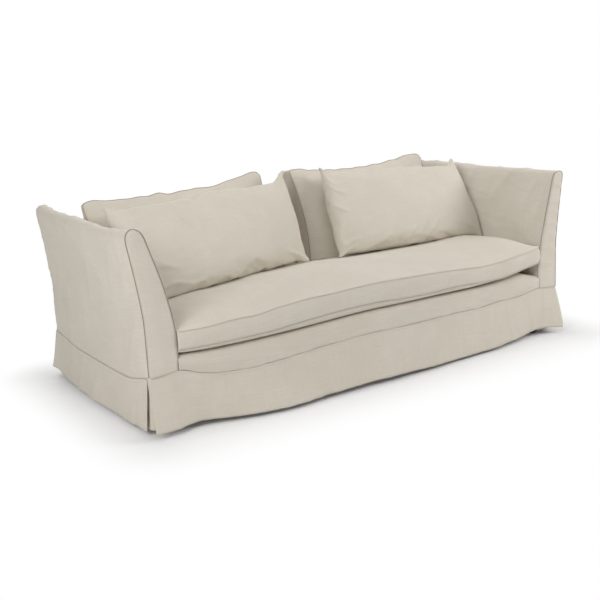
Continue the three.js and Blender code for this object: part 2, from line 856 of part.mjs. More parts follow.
// Back cushions: cuts from side to side, flat behind, crowned in front and pressed onto the seat
const cushionRows = 7;
const cushionEndShares = [0.985, 0.93, 0.8, 0.62, 0.4, 0.18];
const cushionPlaces = [
  -1, ...cushionEndShares.map((share) => -share), 0, ...[...cushionEndShares].reverse(), 1,
];

const backCushionBottom = seatRest + backCushionFootLift;

function backCushionForm(side, cushion) {
  const { endGap, middleGap, outerTop, innerTop, sag } = cushion;
  const outerX = side * (armInnerHalf - endGap);
  const innerX = side * middleGap;
  const [leftX, rightX] = side < 0 ? [outerX, innerX] : [innerX, outerX];
  const [leftTop, rightTop] = side < 0 ? [outerTop, innerTop] : [innerTop, outerTop];
  const rings = cushionPlaces.map((share) => {
    const across = (share + 1) / 2;
    const top = seatRest + mix(leftTop, rightTop, across) - sag * (1 - share ** 2);
    const fullness = 1 - share ** 4;
    const heights = stationsBetween(backCushionBottom, top, cushionRows);
    const ring = heights.map((height, row) => {
      const up = row / cushionRows;
      const swell = backCushionCrown * fullness * Math.sin(Math.PI * (0.15 + 0.75 * up));
      const depth = mix(backCushionSeamDepth, backCushionTopDepth, up) + swell;
      return [insideBackY(height) - depth, height, up];
    });
    const rearTop = top - backCushionBulge;
    ring.push([
      insideBackY(top) - backCushionTopDepth / 2, top + backCushionBulge * fullness, 1,
    ]);
    ring.push([insideBackY(top) - backCushionRearSeam, rearTop, 1]);
    ring.push([insideBackY(backRestHeight + overrun) - gap, backRestHeight + overrun, 0.5]);
    ring.push([insideBackY(backCushionBottom) - gap, backCushionBottom, 0]);
    return ring.map(([y, height, up]) => {
      const draw = backCushionSideDraw * (1 - (2 * up - 1) ** 2) * Math.sign(share) * share ** 4;
      return new THREE.Vector3(mix(leftX, rightX, across) - draw, y, height);
    });
  });
  return solidOf(loft(rings));
}

const seatLifted = seatCushion.translate([0, 0, gap]);
const leftBack = largestOf(backCushionForm(sides.left, leftCushion).subtract(seatLifted));
const rightBack = largestOf(backCushionForm(sides.right, rightCushion).subtract(seatLifted));
addPiece('back_cushion_left', geometryOf(leftBack), linen);
addPiece('back_cushion_right', geometryOf(rightBack), linen);

// Pillows: two plump faces that meet in a knife edge, hung between four corner points
const pillowRows = 8;
const pillowEndShares = [0.97, 0.88, 0.72, 0.5, 0.25];
const pillowPlaces = [
  -1, ...pillowEndShares.map((share) => -share), 0, ...[...pillowEndShares].reverse(), 1,
];

function pillowForm(side, pillow) {
  const cornerAt = (x, { fromBack, lift }) => (
    new THREE.Vector3(x, backFace - fromBack, seatRest + lift)
  );
  const outerAt = (corner) => cornerAt(side * (armInnerHalf - corner.inset), corner);
  const innerAt = (corner) => cornerAt(side * corner.inset, corner);
  const bottoms = [outerAt(pillow.outerBottom), innerAt(pillow.innerBottom)];
  const tops = [outerAt(pillow.outerTop), innerAt(pillow.innerTop)];
  const [bottomLeft, bottomRight] = side < 0 ? bottoms : bottoms.reverse();
  const [topLeft, topRight] = side < 0 ? tops : tops.reverse();
  const across = new THREE.Vector3().subVectors(bottomRight, bottomLeft);
  const up = new THREE.Vector3().subVectors(topLeft, bottomLeft)
    .add(new THREE.Vector3().subVectors(topRight, bottomRight));
  const forward = new THREE.Vector3().crossVectors(across, up).normalize();
  const middleAt = (share, row) => {
    const drawnShare = share * (1 - (pillowEdgeDraw / across.length()) * 2 * (1 - row ** 2));
    const drawnRow = row * (1 - (pillowEdgeDraw / up.length()) * 4 * (1 - share ** 2));
    const bottom = new THREE.Vector3().lerpVectors(bottomLeft, bottomRight, (drawnShare + 1) / 2);
    const top = new THREE.Vector3().lerpVectors(topLeft, topRight, (drawnShare + 1) / 2);
    return bottom.lerp(top, (drawnRow + 1) / 2);
  };
  const puffAt = (share, row) => (
    (1 - Math.abs(share) ** pillowPuff) * (1 - Math.abs(row) ** pillowPuff)
  ) ** 0.6;
  const rows = stationsBetween(-1, 1, pillowRows);
  const rings = pillowPlaces.map((share) => {
    const front = rows.map((row) => middleAt(share, row)
      .addScaledVector(forward, pillowSeam / 2 + pillowFront * puffAt(share, row)));
    const rear = rows.map((row) => middleAt(share, row)
      .addScaledVector(forward, -pillowSeam / 2 - pillowRear * puffAt(share, row)));
    return [...front, ...rear.reverse()];
  });
  return solidOf(loft(rings));
}

const leftPillowSolid = largestOf(
  pillowForm(sides.left, leftPillow)
    .subtract(seatLifted)
    .subtract(leftBack.translate([0, -gap, 0])),
);
const rightPillowSolid = largestOf(
  pillowForm(sides.right, rightPillow)
    .subtract(seatLifted)
    .subtract(rightBack.translate([0, -gap, 0])),
);
addPiece('pillow_left', geometryOf(leftPillowSolid), linen);
addPiece('pillow_right', geometryOf(rightPillowSolid), linen);

// The sofa's own frame: origin on the floor, under the middle of its box
sofa.updateMatrixWorld(true);
const reach = new THREE.Box3().setFromObject(sofa);
const middle = reach.getCenter(new THREE.Vector3());
sofa.position.set(-middle.x, -middle.y, 0);

export default sofa;
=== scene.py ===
import math

import bmesh
import bpy
import numpy as np
from mathutils import Matrix, Vector
from mathutils.bvhtree import BVHTree


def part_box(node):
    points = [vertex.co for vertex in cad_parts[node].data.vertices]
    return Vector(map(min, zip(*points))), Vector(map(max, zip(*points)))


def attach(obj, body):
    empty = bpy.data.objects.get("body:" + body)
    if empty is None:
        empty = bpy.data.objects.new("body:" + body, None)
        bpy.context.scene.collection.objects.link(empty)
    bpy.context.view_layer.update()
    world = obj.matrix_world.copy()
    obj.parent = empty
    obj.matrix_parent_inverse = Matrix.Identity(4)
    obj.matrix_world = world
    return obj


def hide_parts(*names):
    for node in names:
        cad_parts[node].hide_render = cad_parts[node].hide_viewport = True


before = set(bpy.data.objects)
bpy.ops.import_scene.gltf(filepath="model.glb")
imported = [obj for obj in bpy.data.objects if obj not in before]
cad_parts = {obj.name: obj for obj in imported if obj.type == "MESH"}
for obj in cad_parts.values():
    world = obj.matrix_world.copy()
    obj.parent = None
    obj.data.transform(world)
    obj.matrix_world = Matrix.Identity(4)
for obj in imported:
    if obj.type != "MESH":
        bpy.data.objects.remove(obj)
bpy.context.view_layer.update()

# The view: the camera stands to the left of the sofa's front, a little above the cushions, with
# one focal length fitted to the arms, seams and hem. Metres, +Z up, the seat faces -Y.
camera_place = Vector((-2.49324, -3.52821, 1.32504))
camera_yaw = math.radians(33.901)
camera_pitch = math.radians(-13.719)
camera_roll = math.radians(-2.174)
camera_lens = 56.06
camera_sensor = 36.0

heading = Vector((
    math.cos(camera_pitch) * math.sin(camera_yaw),
    math.cos(camera_pitch) * math.cos(camera_yaw),
    math.sin(camera_pitch),
))
level_right = Vector((math.cos(camera_yaw), -math.sin(camera_yaw), 0.0))
level_up = level_right.cross(heading)
rolled_right = level_right * math.cos(camera_roll) + level_up * math.sin(camera_roll)
rolled_up = level_up * math.cos(camera_roll) - level_right * math.sin(camera_roll)
camera_data = bpy.data.cameras.new("camera")
camera_data.sensor_fit = "HORIZONTAL"
camera_data.sensor_width = camera_sensor
camera_data.lens = camera_lens
camera = bpy.data.objects.new("camera", camera_data)
camera.matrix_world = (
    Matrix.Translation(camera_place)
    @ Matrix((rolled_right, rolled_up, -heading)).transposed().to_4x4()
)
bpy.context.scene.collection.objects.link(camera)
bpy.context.scene.camera = camera
bpy.context.scene.view_settings.view_transform = "Standard"


# The studio: a white floor that keeps the sofa's shadow and runs out into a white surround. Soft
# boxes hang overhead, at both sides and behind, with weak plain light all round.
def add_node(tree, kind, inputs=None, **settings):
    node = tree.nodes.new(kind)
    for name, value in settings.items():
        setattr(node, name, value)
    for name, value in (inputs or {}).items():
        if isinstance(value, bpy.types.NodeSocket):
            tree.links.new(value, node.inputs[name])
        else:
            node.inputs[name].default_value = value
    return node


def linear(code):
    """An sRGB hex colour as the linear values that a shader takes."""
    shares = [int(code[at:at + 2], 16) / 255 for at in (1, 3, 5)]
    return [s / 12.92 if s <= 0.04045 else ((s + 0.055) / 1.055) ** 2.4 for s in shares] + [1.0]


def new_material(name):
    material = bpy.data.materials.new(name)
    material.use_nodes = True
    material.node_tree.nodes.clear()
    return material, material.node_tree


def in_view(tree):
    """1 for rays that the camera sees, straight, in a gloss or through glass, and 0 for others."""
    path = add_node(tree, "ShaderNodeLightPath")
    seen = path.outputs["Is Camera Ray"]
    for ray in ("Is Glossy Ray", "Is Transmission Ray"):
        either = add_node(tree, "ShaderNodeMath", {0: seen, 1: path.outputs[ray]}, operation="MAXIMUM")
        seen = either.outputs[0]
    return seen


floor_half = 12.0
floor_white = "#fbfbfb"
floor_glow_under = 0.05
floor_glow_near = 0.22
floor_near_end = 0.03
floor_keep_middle = (0.03, 0.0, 0.0)
floor_keep = (1.14, 0.55, 1.0)
floor_fade_end = 0.31
surround_white = "#ffffff"
surround_light = 0.20
light_target = Vector((0.0, 0.0, 0.35))

# The floor is painted plain white. For the camera it also glows, and this glow is painted light:
# weakest under the sofa's footprint, a little stronger just beside it. Outside the sofa's own shadow it
# fades into pure white
floor_paint, tree = new_material("white_studio_floor")
place = add_node(tree, "ShaderNodeTexCoord").outputs["Object"]
place = add_node(tree, "ShaderNodeVectorMath", {
    0: place, 1: floor_keep_middle,
}, operation="SUBTRACT").outputs[0]
place = add_node(tree, "ShaderNodeVectorMath", {0: place}, operation="ABSOLUTE").outputs[0]
place = add_node(tree, "ShaderNodeVectorMath", {0: place, 1: floor_keep}, operation="SUBTRACT").outputs[0]
place = add_node(tree, "ShaderNodeVectorMath", {0: place, 1: (0, 0, 0)}, operation="MAXIMUM").outputs[0]
distance = add_node(tree, "ShaderNodeVectorMath", {0: place}, operation="LENGTH").outputs["Value"]
# Painted light: the floor's glow, least under the sofa and more just beside it
near_glow = add_node(tree, "ShaderNodeMapRange", {
    "Value": distance, "From Max": floor_near_end,
    "To Min": floor_glow_under, "To Max": floor_glow_near,
}).outputs["Result"]
far_glow = add_node(tree, "ShaderNodeMapRange", {
    "Value": distance, "From Max": floor_fade_end, "To Max": 1.0 - floor_glow_near,
}, interpolation_type="SMOOTHSTEP").outputs["Result"]
fade = add_node(tree, "ShaderNodeMath", {0: near_glow, 1: far_glow}, operation="ADD").outputs[0]
white_share = add_node(tree, "ShaderNodeMath", {0: in_view(tree), 1: fade}, operation="MULTIPLY")
paint = add_node(tree, "ShaderNodeBsdfDiffuse", {"Color": linear(floor_white)})
glow = add_node(tree, "ShaderNodeEmission", {"Strength": 1.0})
blend = add_node(tree, "ShaderNodeMixShader", {
    0: white_share.outputs[0], 1: paint.outputs[0], 2: glow.outputs[0],
})
add_node(tree, "ShaderNodeOutputMaterial", {"Surface": blend.outputs[0]})

floor_mesh = bpy.data.meshes.new("studio_floor")
floor_mesh.from_pydata(
    [(x * floor_half, y * floor_half, 0.0) for x, y in ((-1, -1), (1, -1), (1, 1), (-1, 1))],
    [],
    [(0, 1, 2, 3)],
)
floor_mesh.materials.append(floor_paint)
floor = bpy.data.objects.new("studio_floor", floor_mesh)
bpy.context.scene.collection.objects.link(floor)

world = bpy.data.worlds.new("white_surround")
world.use_nodes = True
world.node_tree.nodes.clear()
bpy.context.scene.world = world
tree = world.node_tree
level = add_node(tree, "ShaderNodeMapRange", {
    "Value": in_view(tree), "To Min": surround_light, "To Max": 1.0,
})
sky = add_node(tree, "ShaderNodeBackground", {
    "Color": linear(surround_white), "Strength": level.outputs["Result"],
})
add_node(tree, "ShaderNodeOutputWorld", {"Surface": sky.outputs[0]})


def add_soft_box(name, where, size, power):
    light = bpy.data.lights.new(name, "AREA")
    light.shape = "SQUARE"
    light.size = size
    light.energy = power
    lamp = bpy.data.objects.new(name, light)
    lamp.location = where
    lamp.rotation_euler = (light_target - where).to_track_quat("-Z", "Y").to_euler()
    bpy.context.scene.collection.objects.link(lamp)


add_soft_box("overhead_soft_box", Vector((0.3, 0.2, 3.4)), 2.4, 36.0)
add_soft_box("left_soft_box", Vector((-3.4, -0.8, 1.4)), 1.6, 8.0)
add_soft_box("left_front_soft_box", Vector((-3.3, -1.9, 2.1)), 1.5, 50.0)
add_soft_box("right_front_soft_box", Vector((3.2, -2.6, 2.4)), 1.6, 80.0)
add_soft_box("rear_soft_box", Vector((0.4, 3.8, 2.2)), 1.6, 40.0)


# Turned bun feet of hardwood under a dark stain and a satin lacquer, each screwed on a zinc-plated
# hanger bolt. Only dark glimpses of them show under the hem.
stain_dark = "#1c1310"
stain_light = "#33221a"
lacquer_roughness = 0.34
lacquer_coat = 0.4
lacquer_coat_roughness = 0.2
foot_grain_width = 0.0025
foot_grain_length = 0.04
foot_grain_depth = 0.0002
zinc_grey = "#9a9da0"
zinc_roughness = 0.38
zinc_roughness_spread = 0.08
zinc_spangle = 0.004
zinc_spangle_depth = 0.0001
noise_roughness = 0.55


def add_shader(tree, colour, roughness, relief, relief_depth, **settings):
    """A principled surface with a fine relief; colour and roughness may be values or sockets."""
    bump = add_node(tree, "ShaderNodeBump", {"Height": relief, "Distance": relief_depth})
    inputs = {"Base Color": colour, "Roughness": roughness, "Normal": bump.outputs["Normal"]}
    inputs.update({name.replace("_", " "): value for name, value in settings.items()})
    shader = add_node(tree, "ShaderNodeBsdfPrincipled", inputs)
    add_node(tree, "ShaderNodeOutputMaterial", {"Surface": shader.outputs[0]})


def stretched_noise(tree, place, spans, detail=3.0):
    """Noise whose blotches measure spans metres along the three axes of place."""
    stretched = add_node(tree, "ShaderNodeMapping", {
        "Vector": place, "Scale": [1.0 / span for span in spans],
    })
    return add_node(tree, "ShaderNodeTexNoise", {
        "Vector": stretched.outputs[0], "Scale": 1.0, "Detail": detail, "Roughness": noise_roughness,
    }).outputs["Fac"]


def tone(tree, share, dark, light, low=0.3, high=0.7):
    """A colour between two codes, as share runs from low to high."""
    spread = add_node(tree, "ShaderNodeMapRange", {
        "Value": share, "From Min": low, "From Max": high,
    }).outputs["Result"]
    return add_node(tree, "ShaderNodeMix", {
        0: spread, "A": linear(dark), "B": linear(light),
    }, data_type="RGBA").outputs["Result"]


# Dark stain sinks deeper into the open grain, so the colour runs in fine upright streaks
lacquered_wood, tree = new_material("stained_lacquered_hardwood")
place = add_node(tree, "ShaderNodeTexCoord").outputs["Object"]
grain = stretched_noise(tree, place, (foot_grain_width, foot_grain_width, foot_grain_length))
add_shader(
    tree, tone(tree, grain, stain_dark, stain_light), lacquer_roughness, grain, foot_grain_depth,
    Coat_Weight=lacquer_coat, Coat_Roughness=lacquer_coat_roughness,
)

# Zinc plating: a dull grey metal with faint blotches in its gloss
zinc_steel, tree = new_material("zinc_plated_steel")
place = add_node(tree, "ShaderNodeTexCoord").outputs["Object"]
spangle = stretched_noise(tree, place, (zinc_spangle,) * 3)
gloss = add_node(tree, "ShaderNodeMapRange", {
    "Value": spangle,
    "To Min": zinc_roughness - zinc_roughness_spread,
    "To Max": zinc_roughness + zinc_roughness_spread,
}).outputs["Result"]
add_shader(tree, linear(zinc_grey), gloss, spangle, zinc_spangle_depth, Metallic=1.0)


def finish_node(name, material):
    """Gives a piece of the frame its own surface."""
    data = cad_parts[name].data
    data.materials.clear()
    data.materials.append(material)


sides = {"left": -1, "right": 1}
ends = ("front", "back")
for end_name in ends:
    for side_name in sides:
        finish_node(f"foot_{end_name}_{side_name}", lacquered_wood)
        finish_node(f"foot_bolt_{end_name}_{side_name}", zinc_steel)


# The frame: sawn and planed beech rails, posts and glue blocks, doweled and glued, left unfinished
# under the cover. Beech is pale pinkish brown with short dark flecks along the grain.
beech_pale = "#c9a173"
beech_dark = "#a97f54"
beech_fleck = "#8a6340"
beech_roughness = 0.62
beech_ring_width = 0.006
beech_ring_length = 0.5
beech_ring_depth = 0.0003
fleck_width = 0.0012
fleck_length = 0.005
fleck_start = 0.62
fleck_full = 0.72
fleck_strength = 0.6


def beech(name, along):
    """Planed beech with its grain along axis 0, 1 or 2."""
    material, tree = new_material(name)
    place = add_node(tree, "ShaderNodeTexCoord").outputs["Object"]
    ring_spans = [beech_ring_length if axis == along else beech_ring_width for axis in range(3)]
    fleck_spans = [fleck_length if axis == along else fleck_width for axis in range(3)]
    rings = stretched_noise(tree, place, ring_spans)
    flecks = stretched_noise(tree, place, fleck_spans, detail=1.0)
    board = tone(tree, rings, beech_dark, beech_pale)
    fleck_share = add_node(tree, "ShaderNodeMapRange", {
        "Value": flecks, "From Min": fleck_start, "From Max": fleck_full, "To Max": fleck_strength,
    }).outputs["Result"]
    colour = add_node(tree, "ShaderNodeMix", {
        0: fleck_share, "A": board, "B": linear(beech_fleck),
    }, data_type="RGBA").outputs["Result"]
    add_shader(tree, colour, beech_roughness, rings, beech_ring_depth)
    return material


beech_across = beech("planed_beech_grain_across", 0)
beech_deep = beech("planed_beech_grain_deep", 1)
beech_upright = beech("planed_beech_grain_upright", 2)

for name in ("front_rail", "back_rail", "seat_rail", "back_top_rail"):
    finish_node(name, beech_across)
finish_node("centre_rail", beech_deep)
for side_name in sides:
    finish_node(f"side_rail_{side_name}", beech_deep)
    finish_node(f"arm_top_rail_{side_name}", beech_deep)
    finish_node(f"arm_front_post_{side_name}", beech_upright)
    finish_node(f"arm_back_post_{side_name}", beech_upright)
    for end_name in ends:
        finish_node(f"corner_block_{end_name}_{side_name}", beech_across)
for place_name in ("left", "centre", "right"):
    finish_node(f"back_post_{place_name}", beech_upright)


# Elastic webbing, woven of rubber cores and dark polypropylene yarn, tacked over the rails in
# straight straps. It shows fine ribs along its length.
webbing_dark = "#2b2825"
webbing_light = "#4b4640"
webbing_roughness = 0.85
webbing_rib = 0.004
webbing_pick = 0.0025
webbing_depth = 0.0004


def crossing_threads(tree, place, pitches):
    """Two sine waves multiplied, from -1 to 1; pitches holds each one's axis and pitch in metres."""
    parts = add_node(tree, "ShaderNodeSeparateXYZ", {0: place})
    waves = []
    for axis, pitch in pitches:
        turned = add_node(tree, "ShaderNodeMath", {
            0: parts.outputs[axis], 1: 2 * math.pi / pitch,
        }, operation="MULTIPLY").outputs[0]
        waves.append(add_node(tree, "ShaderNodeMath", {0: turned}, operation="SINE").outputs[0])
    return add_node(tree, "ShaderNodeMath", {0: waves[0], 1: waves[1]}, operation="MULTIPLY").outputs[0]


def webbing_of(name, along):
    """Ribbed strap that runs along axis 0 or 1."""
    material, tree = new_material(name)
    place = add_node(tree, "ShaderNodeTexCoord").outputs["Object"]
    across = 2 if along == 0 else 0
    woven = crossing_threads(tree, place, ((across, webbing_rib), (along, webbing_pick)))
    colour = tone(tree, woven, webbing_dark, webbing_light, -1.0, 1.0)
    add_shader(tree, colour, webbing_roughness, woven, webbing_depth)
    return material


seat_strap = webbing_of("woven_elastic_webbing_deep", 1)
back_strap = webbing_of("woven_elastic_webbing_across", 0)
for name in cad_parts:
    if name.startswith("seat_webbing_"):
        finish_node(name, seat_strap)
    if name.startswith("back_webbing_"):
        finish_node(name, back_strap)


# The seat platform: a foam slab on the webbing, closed with plain cotton lining and tacked at the
# rails. Only its front right corner shows, in the dark gap under the seat cushion.
depth_middle = (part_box("foot_front_left")[0].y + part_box("foot_back_left")[1].y) / 2
seat_half = 1.120
arm_thickness = 0.128
sofa_half_depth = 0.493
arm_inner_half = seat_half - arm_thickness
front_face = depth_middle - sofa_half_depth
back_face = depth_middle + sofa_half_depth
front_bow = 0.040
platform_base = 0.2531
platform_top = 0.2921
back_rest_depth = 0.203
back_rest_height = 0.440
back_lean = 0.314
cover_wall = 0.014
piece_gap = 0.0003
lining_pale = "#d6cdbc"
lining_dark = "#b8ae9b"
lining_roughness = 0.9
lining_thread = 0.0018
lining_thread_depth = 0.0003
lining_dimple = 0.002
lining_dimple_length = 0.14
deck_columns = 90
deck_rows = 40
deck_front_gap = 0.012
deck_front_drop = 0.004
ripple_waves = 16
seam_weld = 0.00002
cord_sides = 8
deck_rise_pairs = (
    (-0.99, 0.004), (-0.85, 0.002), (-0.65, 0.006), (-0.47, 0.011), (-0.31, 0.019), (-0.15, 0.027),
    (0.05, 0.029), (0.26, 0.028), (0.44, 0.024), (0.63, 0.024), (0.77, 0.028), (0.86, 0.032),
    (0.92, 0.026), (0.96, 0.014), (0.99, 0.012),
)


def bow_at(x):
    """How far the seat front stands proud of the arms, x metres from the middle."""
    return front_bow * np.clip(1 - (x / arm_inner_half) ** 2, 0, None)


def inside_back_y(height):
    return back_face - back_rest_depth + (height - back_rest_height) * back_lean


def eased(share):
    """A share from 0 to 1 that sets off and arrives softly."""
    return share * share * (3 - 2 * share)


def ripple(places, wavelength, seed):
    """A smooth random field between about -1 and 1, with swells about one wavelength long."""
    draw = np.random.default_rng(seed)
    places = np.asarray(places, float)
    total = np.zeros(places.shape[:-1])
    for _ in range(ripple_waves):
        direction = draw.normal(size=places.shape[-1])
        direction /= np.linalg.norm(direction)
        length = wavelength * draw.uniform(0.75, 1.6)
        phase = draw.uniform(0, 2 * math.pi)
        total += np.sin(places @ direction * (2 * math.pi / length) + phase)
    return total / math.sqrt(ripple_waves * 2)


def crease(field, width=0.35):
    """Soft narrow ridges where a random field passes through zero."""
    return np.clip(1 - np.abs(field) / width, 0, None) ** 2


def grid_normals(points, outward):
    """Unit normals of a grid of points, turned to the side of outward at its middle."""
    down = np.gradient(points, axis=0)
    across = np.gradient(points, axis=1)
    normals = np.cross(down, across)
    lengths = np.linalg.norm(normals, axis=2, keepdims=True)
    normals = normals / np.maximum(lengths, 1e-12)
    middle = normals[points.shape[0] // 2, points.shape[1] // 2]
    return normals if np.dot(middle, outward) > 0 else -normals


def run_lengths(points):
    """How far each point of a line, or of each row of a grid, lies along it."""
    steps = np.linalg.norm(np.diff(points, axis=-2), axis=-1)
    start = np.zeros(steps.shape[:-1] + (1,))
    return np.concatenate([start, np.cumsum(steps, axis=-1)], axis=-1)


def cloth_uv(points):
    """Places on the cloth in metres: u along the rows, v down the columns."""
    u = run_lengths(points)
    middle = points.shape[1] // 2
    u = u - u[:, middle:middle + 1]
    v = run_lengths(points.transpose(1, 0, 2)).T
    return np.stack([u, np.broadcast_to(v[:, middle:middle + 1], u.shape)], axis=-1)


def smooth_line(pairs):
    """A smooth curve through given pairs, as a function."""
    at = np.array([pair[0] for pair in pairs])
    values = np.array([pair[1] for pair in pairs])
    slopes = np.gradient(values, at)

    def value(x):
        x = np.clip(np.asarray(x, float), at[0], at[-1])
        index = np.clip(np.searchsorted(at, x, side="right") - 1, 0, len(at) - 2)
        width = at[index + 1] - at[index]
        t = (x - at[index]) / width
        start = slopes[index] * width * t * (1 - t) ** 2
        end = -slopes[index + 1] * width * t * t * (1 - t)
        return values[index] + (values[index + 1] - values[index]) * eased(t) + start + end

    return value


deck_rise = smooth_line(deck_rise_pairs)


def deck_height(x):
    """The platform's upper face: crowned along the sofa, level from front to back."""
    return platform_top + deck_rise(x)


class Sewing:
    """Patches of cloth, gathered into one piece and joined where their edges meet."""

    def __init__(self):
        self.points = []
        self.uvs = []
        self.faces = []
        self.marks = []
        self.count = 0

    def patch(self, points, uv=None, mark=0):
        """One patch from a grid of points, in the material that mark counts to."""
        rows, columns = points.shape[:2]
        uv = cloth_uv(points) if uv is None else uv
        index = np.arange(rows * columns).reshape(rows, columns) + self.count
        faces = np.stack(
            [index[:-1, :-1], index[:-1, 1:], index[1:, 1:], index[1:, :-1]], axis=-1,
        )
        self.points.append(points.reshape(-1, 3))
        self.uvs.append(np.asarray(uv).reshape(-1, 2))
        self.faces.append(faces.reshape(-1, 4))
        self.marks.append(np.full(faces.size // 4, mark))
        self.count += rows * columns

    def wall(self, points, depth, outward, uv=None):
        """A patch with its back depth behind it and its four edges closed."""
        uv = cloth_uv(points) if uv is None else uv
        back = points - grid_normals(points, outward) * depth
        self.patch(points, uv)
        self.patch(back, uv)
        for edge, behind, edge_uv in (
            (points[0], back[0], uv[0]), (points[-1], back[-1], uv[-1]),
            (points[:, 0], back[:, 0], uv[:, 0]), (points[:, -1], back[:, -1], uv[:, -1]),
        ):
            self.patch(np.stack([edge, behind]), np.stack([edge_uv, edge_uv + depth]))

    def cord(self, line, radius, closed=False, mark=1):
        """Piping: a round cloth tube along a line, by default in the piece's second material."""
        line = np.asarray(line, float)
        if closed:
            line = np.concatenate([line, line[:1]])
        along = np.gradient(line, axis=0)
        if closed:
            along[0] = along[-1] = line[1] - line[-2]
        along /= np.linalg.norm(along, axis=1, keepdims=True)
        side = np.cross(along[0], (0.0, 0.0, 1.0))
        if np.linalg.norm(side) < 0.3:
            side = np.cross(along[0], (0.0, 1.0, 0.0))
        frames = []
        for direction in along:
            side = side - direction * np.dot(side, direction)
            side /= np.linalg.norm(side)
            frames.append(side)
        frames = np.array(frames)
        if closed:
            frames[-1] = frames[0]
        lift = np.cross(along, frames)
        turn = np.linspace(0, 2 * math.pi, cord_sides + 1)
        ring = (
            frames[:, None] * np.cos(turn)[None, :, None]
            + lift[:, None] * np.sin(turn)[None, :, None]
        )
        tube = line[:, None] + ring * radius
        u = np.broadcast_to(run_lengths(line)[:, None], tube.shape[:2])
        v = np.broadcast_to(turn * radius, tube.shape[:2])
        self.patch(tube, np.stack([u, v], axis=-1), mark)
        if not closed:
            for end in (0, -1):
                tip = np.broadcast_to(line[end], tube[end].shape)
                tip_uv = np.stack([np.stack([u[end], v[end]], -1)] * 2)
                self.patch(np.stack([tube[end], tip]), tip_uv, mark)

    def make(self, name, *materials):
        """The whole piece as one object, with its patches' edge points joined."""
        mesh = bpy.data.meshes.new(name)
        for material in materials:
            mesh.materials.append(material)
        faces = np.concatenate(self.faces)
        mesh.from_pydata(np.concatenate(self.points).tolist(), [], faces.tolist())
        mesh.polygons.foreach_set("material_index", np.concatenate(self.marks))
        layer = mesh.uv_layers.new(name="cloth")
        layer.data.foreach_set("uv", np.concatenate(self.uvs)[faces.ravel()].ravel())
        shaped = bmesh.new()
        shaped.from_mesh(mesh)
        bmesh.ops.remove_doubles(shaped, verts=shaped.verts, dist=seam_weld)
        bmesh.ops.dissolve_degenerate(shaped, edges=shaped.edges, dist=seam_weld / 2)
        bmesh.ops.recalc_face_normals(shaped, faces=shaped.faces)
        shaped.to_mesh(mesh)
        shaped.free()
        mesh.shade_smooth()
        piece = bpy.data.objects.new(name, mesh)
        bpy.context.scene.collection.objects.link(piece)
        return piece


# Cotton lining: a fine plain weave, matt, a little darker where it is dusty
cotton_lining, tree = new_material("plain_woven_cotton_lining")
place = add_node(tree, "ShaderNodeUVMap", uv_map="cloth").outputs[0]
threads = stretched_noise(tree, place, (lining_thread, lining_thread, 1.0), detail=1.0)
colour = tone(tree, threads, lining_dark, lining_pale)
add_shader(tree, colour, lining_roughness, threads, lining_thread_depth)

across = np.linspace(-1, 1, deck_columns) * (arm_inner_half - 2 * piece_gap)
front_line = front_face - bow_at(across) + cover_wall + deck_front_gap
rear_line = np.full(deck_columns, inside_back_y(platform_top) - piece_gap)
share = np.linspace(0, 1, deck_rows)[:, None]
depth_y = front_line + (rear_line - front_line) * share
across_grid = np.broadcast_to(across, depth_y.shape)
top = np.stack([across_grid, depth_y, deck_height(across_grid)], axis=-1)
dimples = np.clip(0.5 + 0.5 * ripple(top[..., :2], lining_dimple_length, 11), 0, 1)
top[..., 2] -= lining_dimple * dimples
top[0, :, 2] -= deck_front_drop
bottom = top.copy()
bottom[..., 2] = platform_base
deck = Sewing()
deck.patch(top)
deck.patch(bottom)
for upper, lower in (
    (top[0], bottom[0]), (top[-1], bottom[-1]), (top[:, 0], bottom[:, 0]), (top[:, -1], bottom[:, -1]),
):
    side_share = np.linspace(0, 1, 5)[:, None, None]
    deck.patch(upper + (lower - upper) * side_share)
seat_deck = deck.make("seat_deck_lining", cotton_lining)
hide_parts("seat_platform")
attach(seat_deck, "root")


# The loose cover: heavy plain-woven linen and cotton, washed once, matt and warm oatmeal, with
# uneven yarns. It is cut in panels and sewn with flat felled seams, then pulled over the sofa.
linen_pale = "#dad3c6"
linen_dark = "#d0c8ba"
linen_shade = "#cdc5b6"
linen_roughness = 0.92
linen_sheen = 0.12
linen_sheen_roughness = 0.5
yarn_thickness = 0.0035
yarn_slub = 0.11
yarn_dark_below = 0.33
yarn_pale_above = 0.63
warp_share = 0.38
weave_pitch = 0.0045
weave_share = 0.12
weave_depth = 0.0003
wash_patch = 0.22
wash_start = 0.35
wash_full = 0.65
wash_strength = 0.4

# Linen and cotton: matt with a slight fuzz. Real yarns lie 1 mm apart, too fine for the picture,
# so yarns and weave are drawn about four times as coarse, and slubs run along both directions.
linen, tree = new_material("plain_woven_linen_cotton")
place = add_node(tree, "ShaderNodeUVMap", uv_map="cloth").outputs[0]
weft = stretched_noise(tree, place, (yarn_slub, yarn_thickness, 1.0), detail=2.0)
warp = stretched_noise(tree, place, (yarn_thickness, yarn_slub, 1.0), detail=2.0)
wash = stretched_noise(tree, place, (wash_patch, wash_patch, 1.0), detail=2.0)
yarns = add_node(tree, "ShaderNodeMix", {
    0: warp_share, "A": weft, "B": warp,
}, data_type="FLOAT").outputs["Result"]
weave = crossing_threads(tree, place, ((0, weave_pitch), (1, weave_pitch)))
height = add_node(tree, "ShaderNodeMath", {
    0: weave, 1: weave_share, 2: yarns,
}, operation="MULTIPLY_ADD").outputs[0]
threads = tone(tree, yarns, linen_dark, linen_pale, yarn_dark_below, yarn_pale_above)
washed = add_node(tree, "ShaderNodeMapRange", {
    "Value": wash, "From Min": wash_start, "From Max": wash_full, "To Max": wash_strength,
}).outputs["Result"]
colour = add_node(tree, "ShaderNodeMix", {
    0: washed, "A": threads, "B": linear(linen_shade),
}, data_type="RGBA").outputs["Result"]
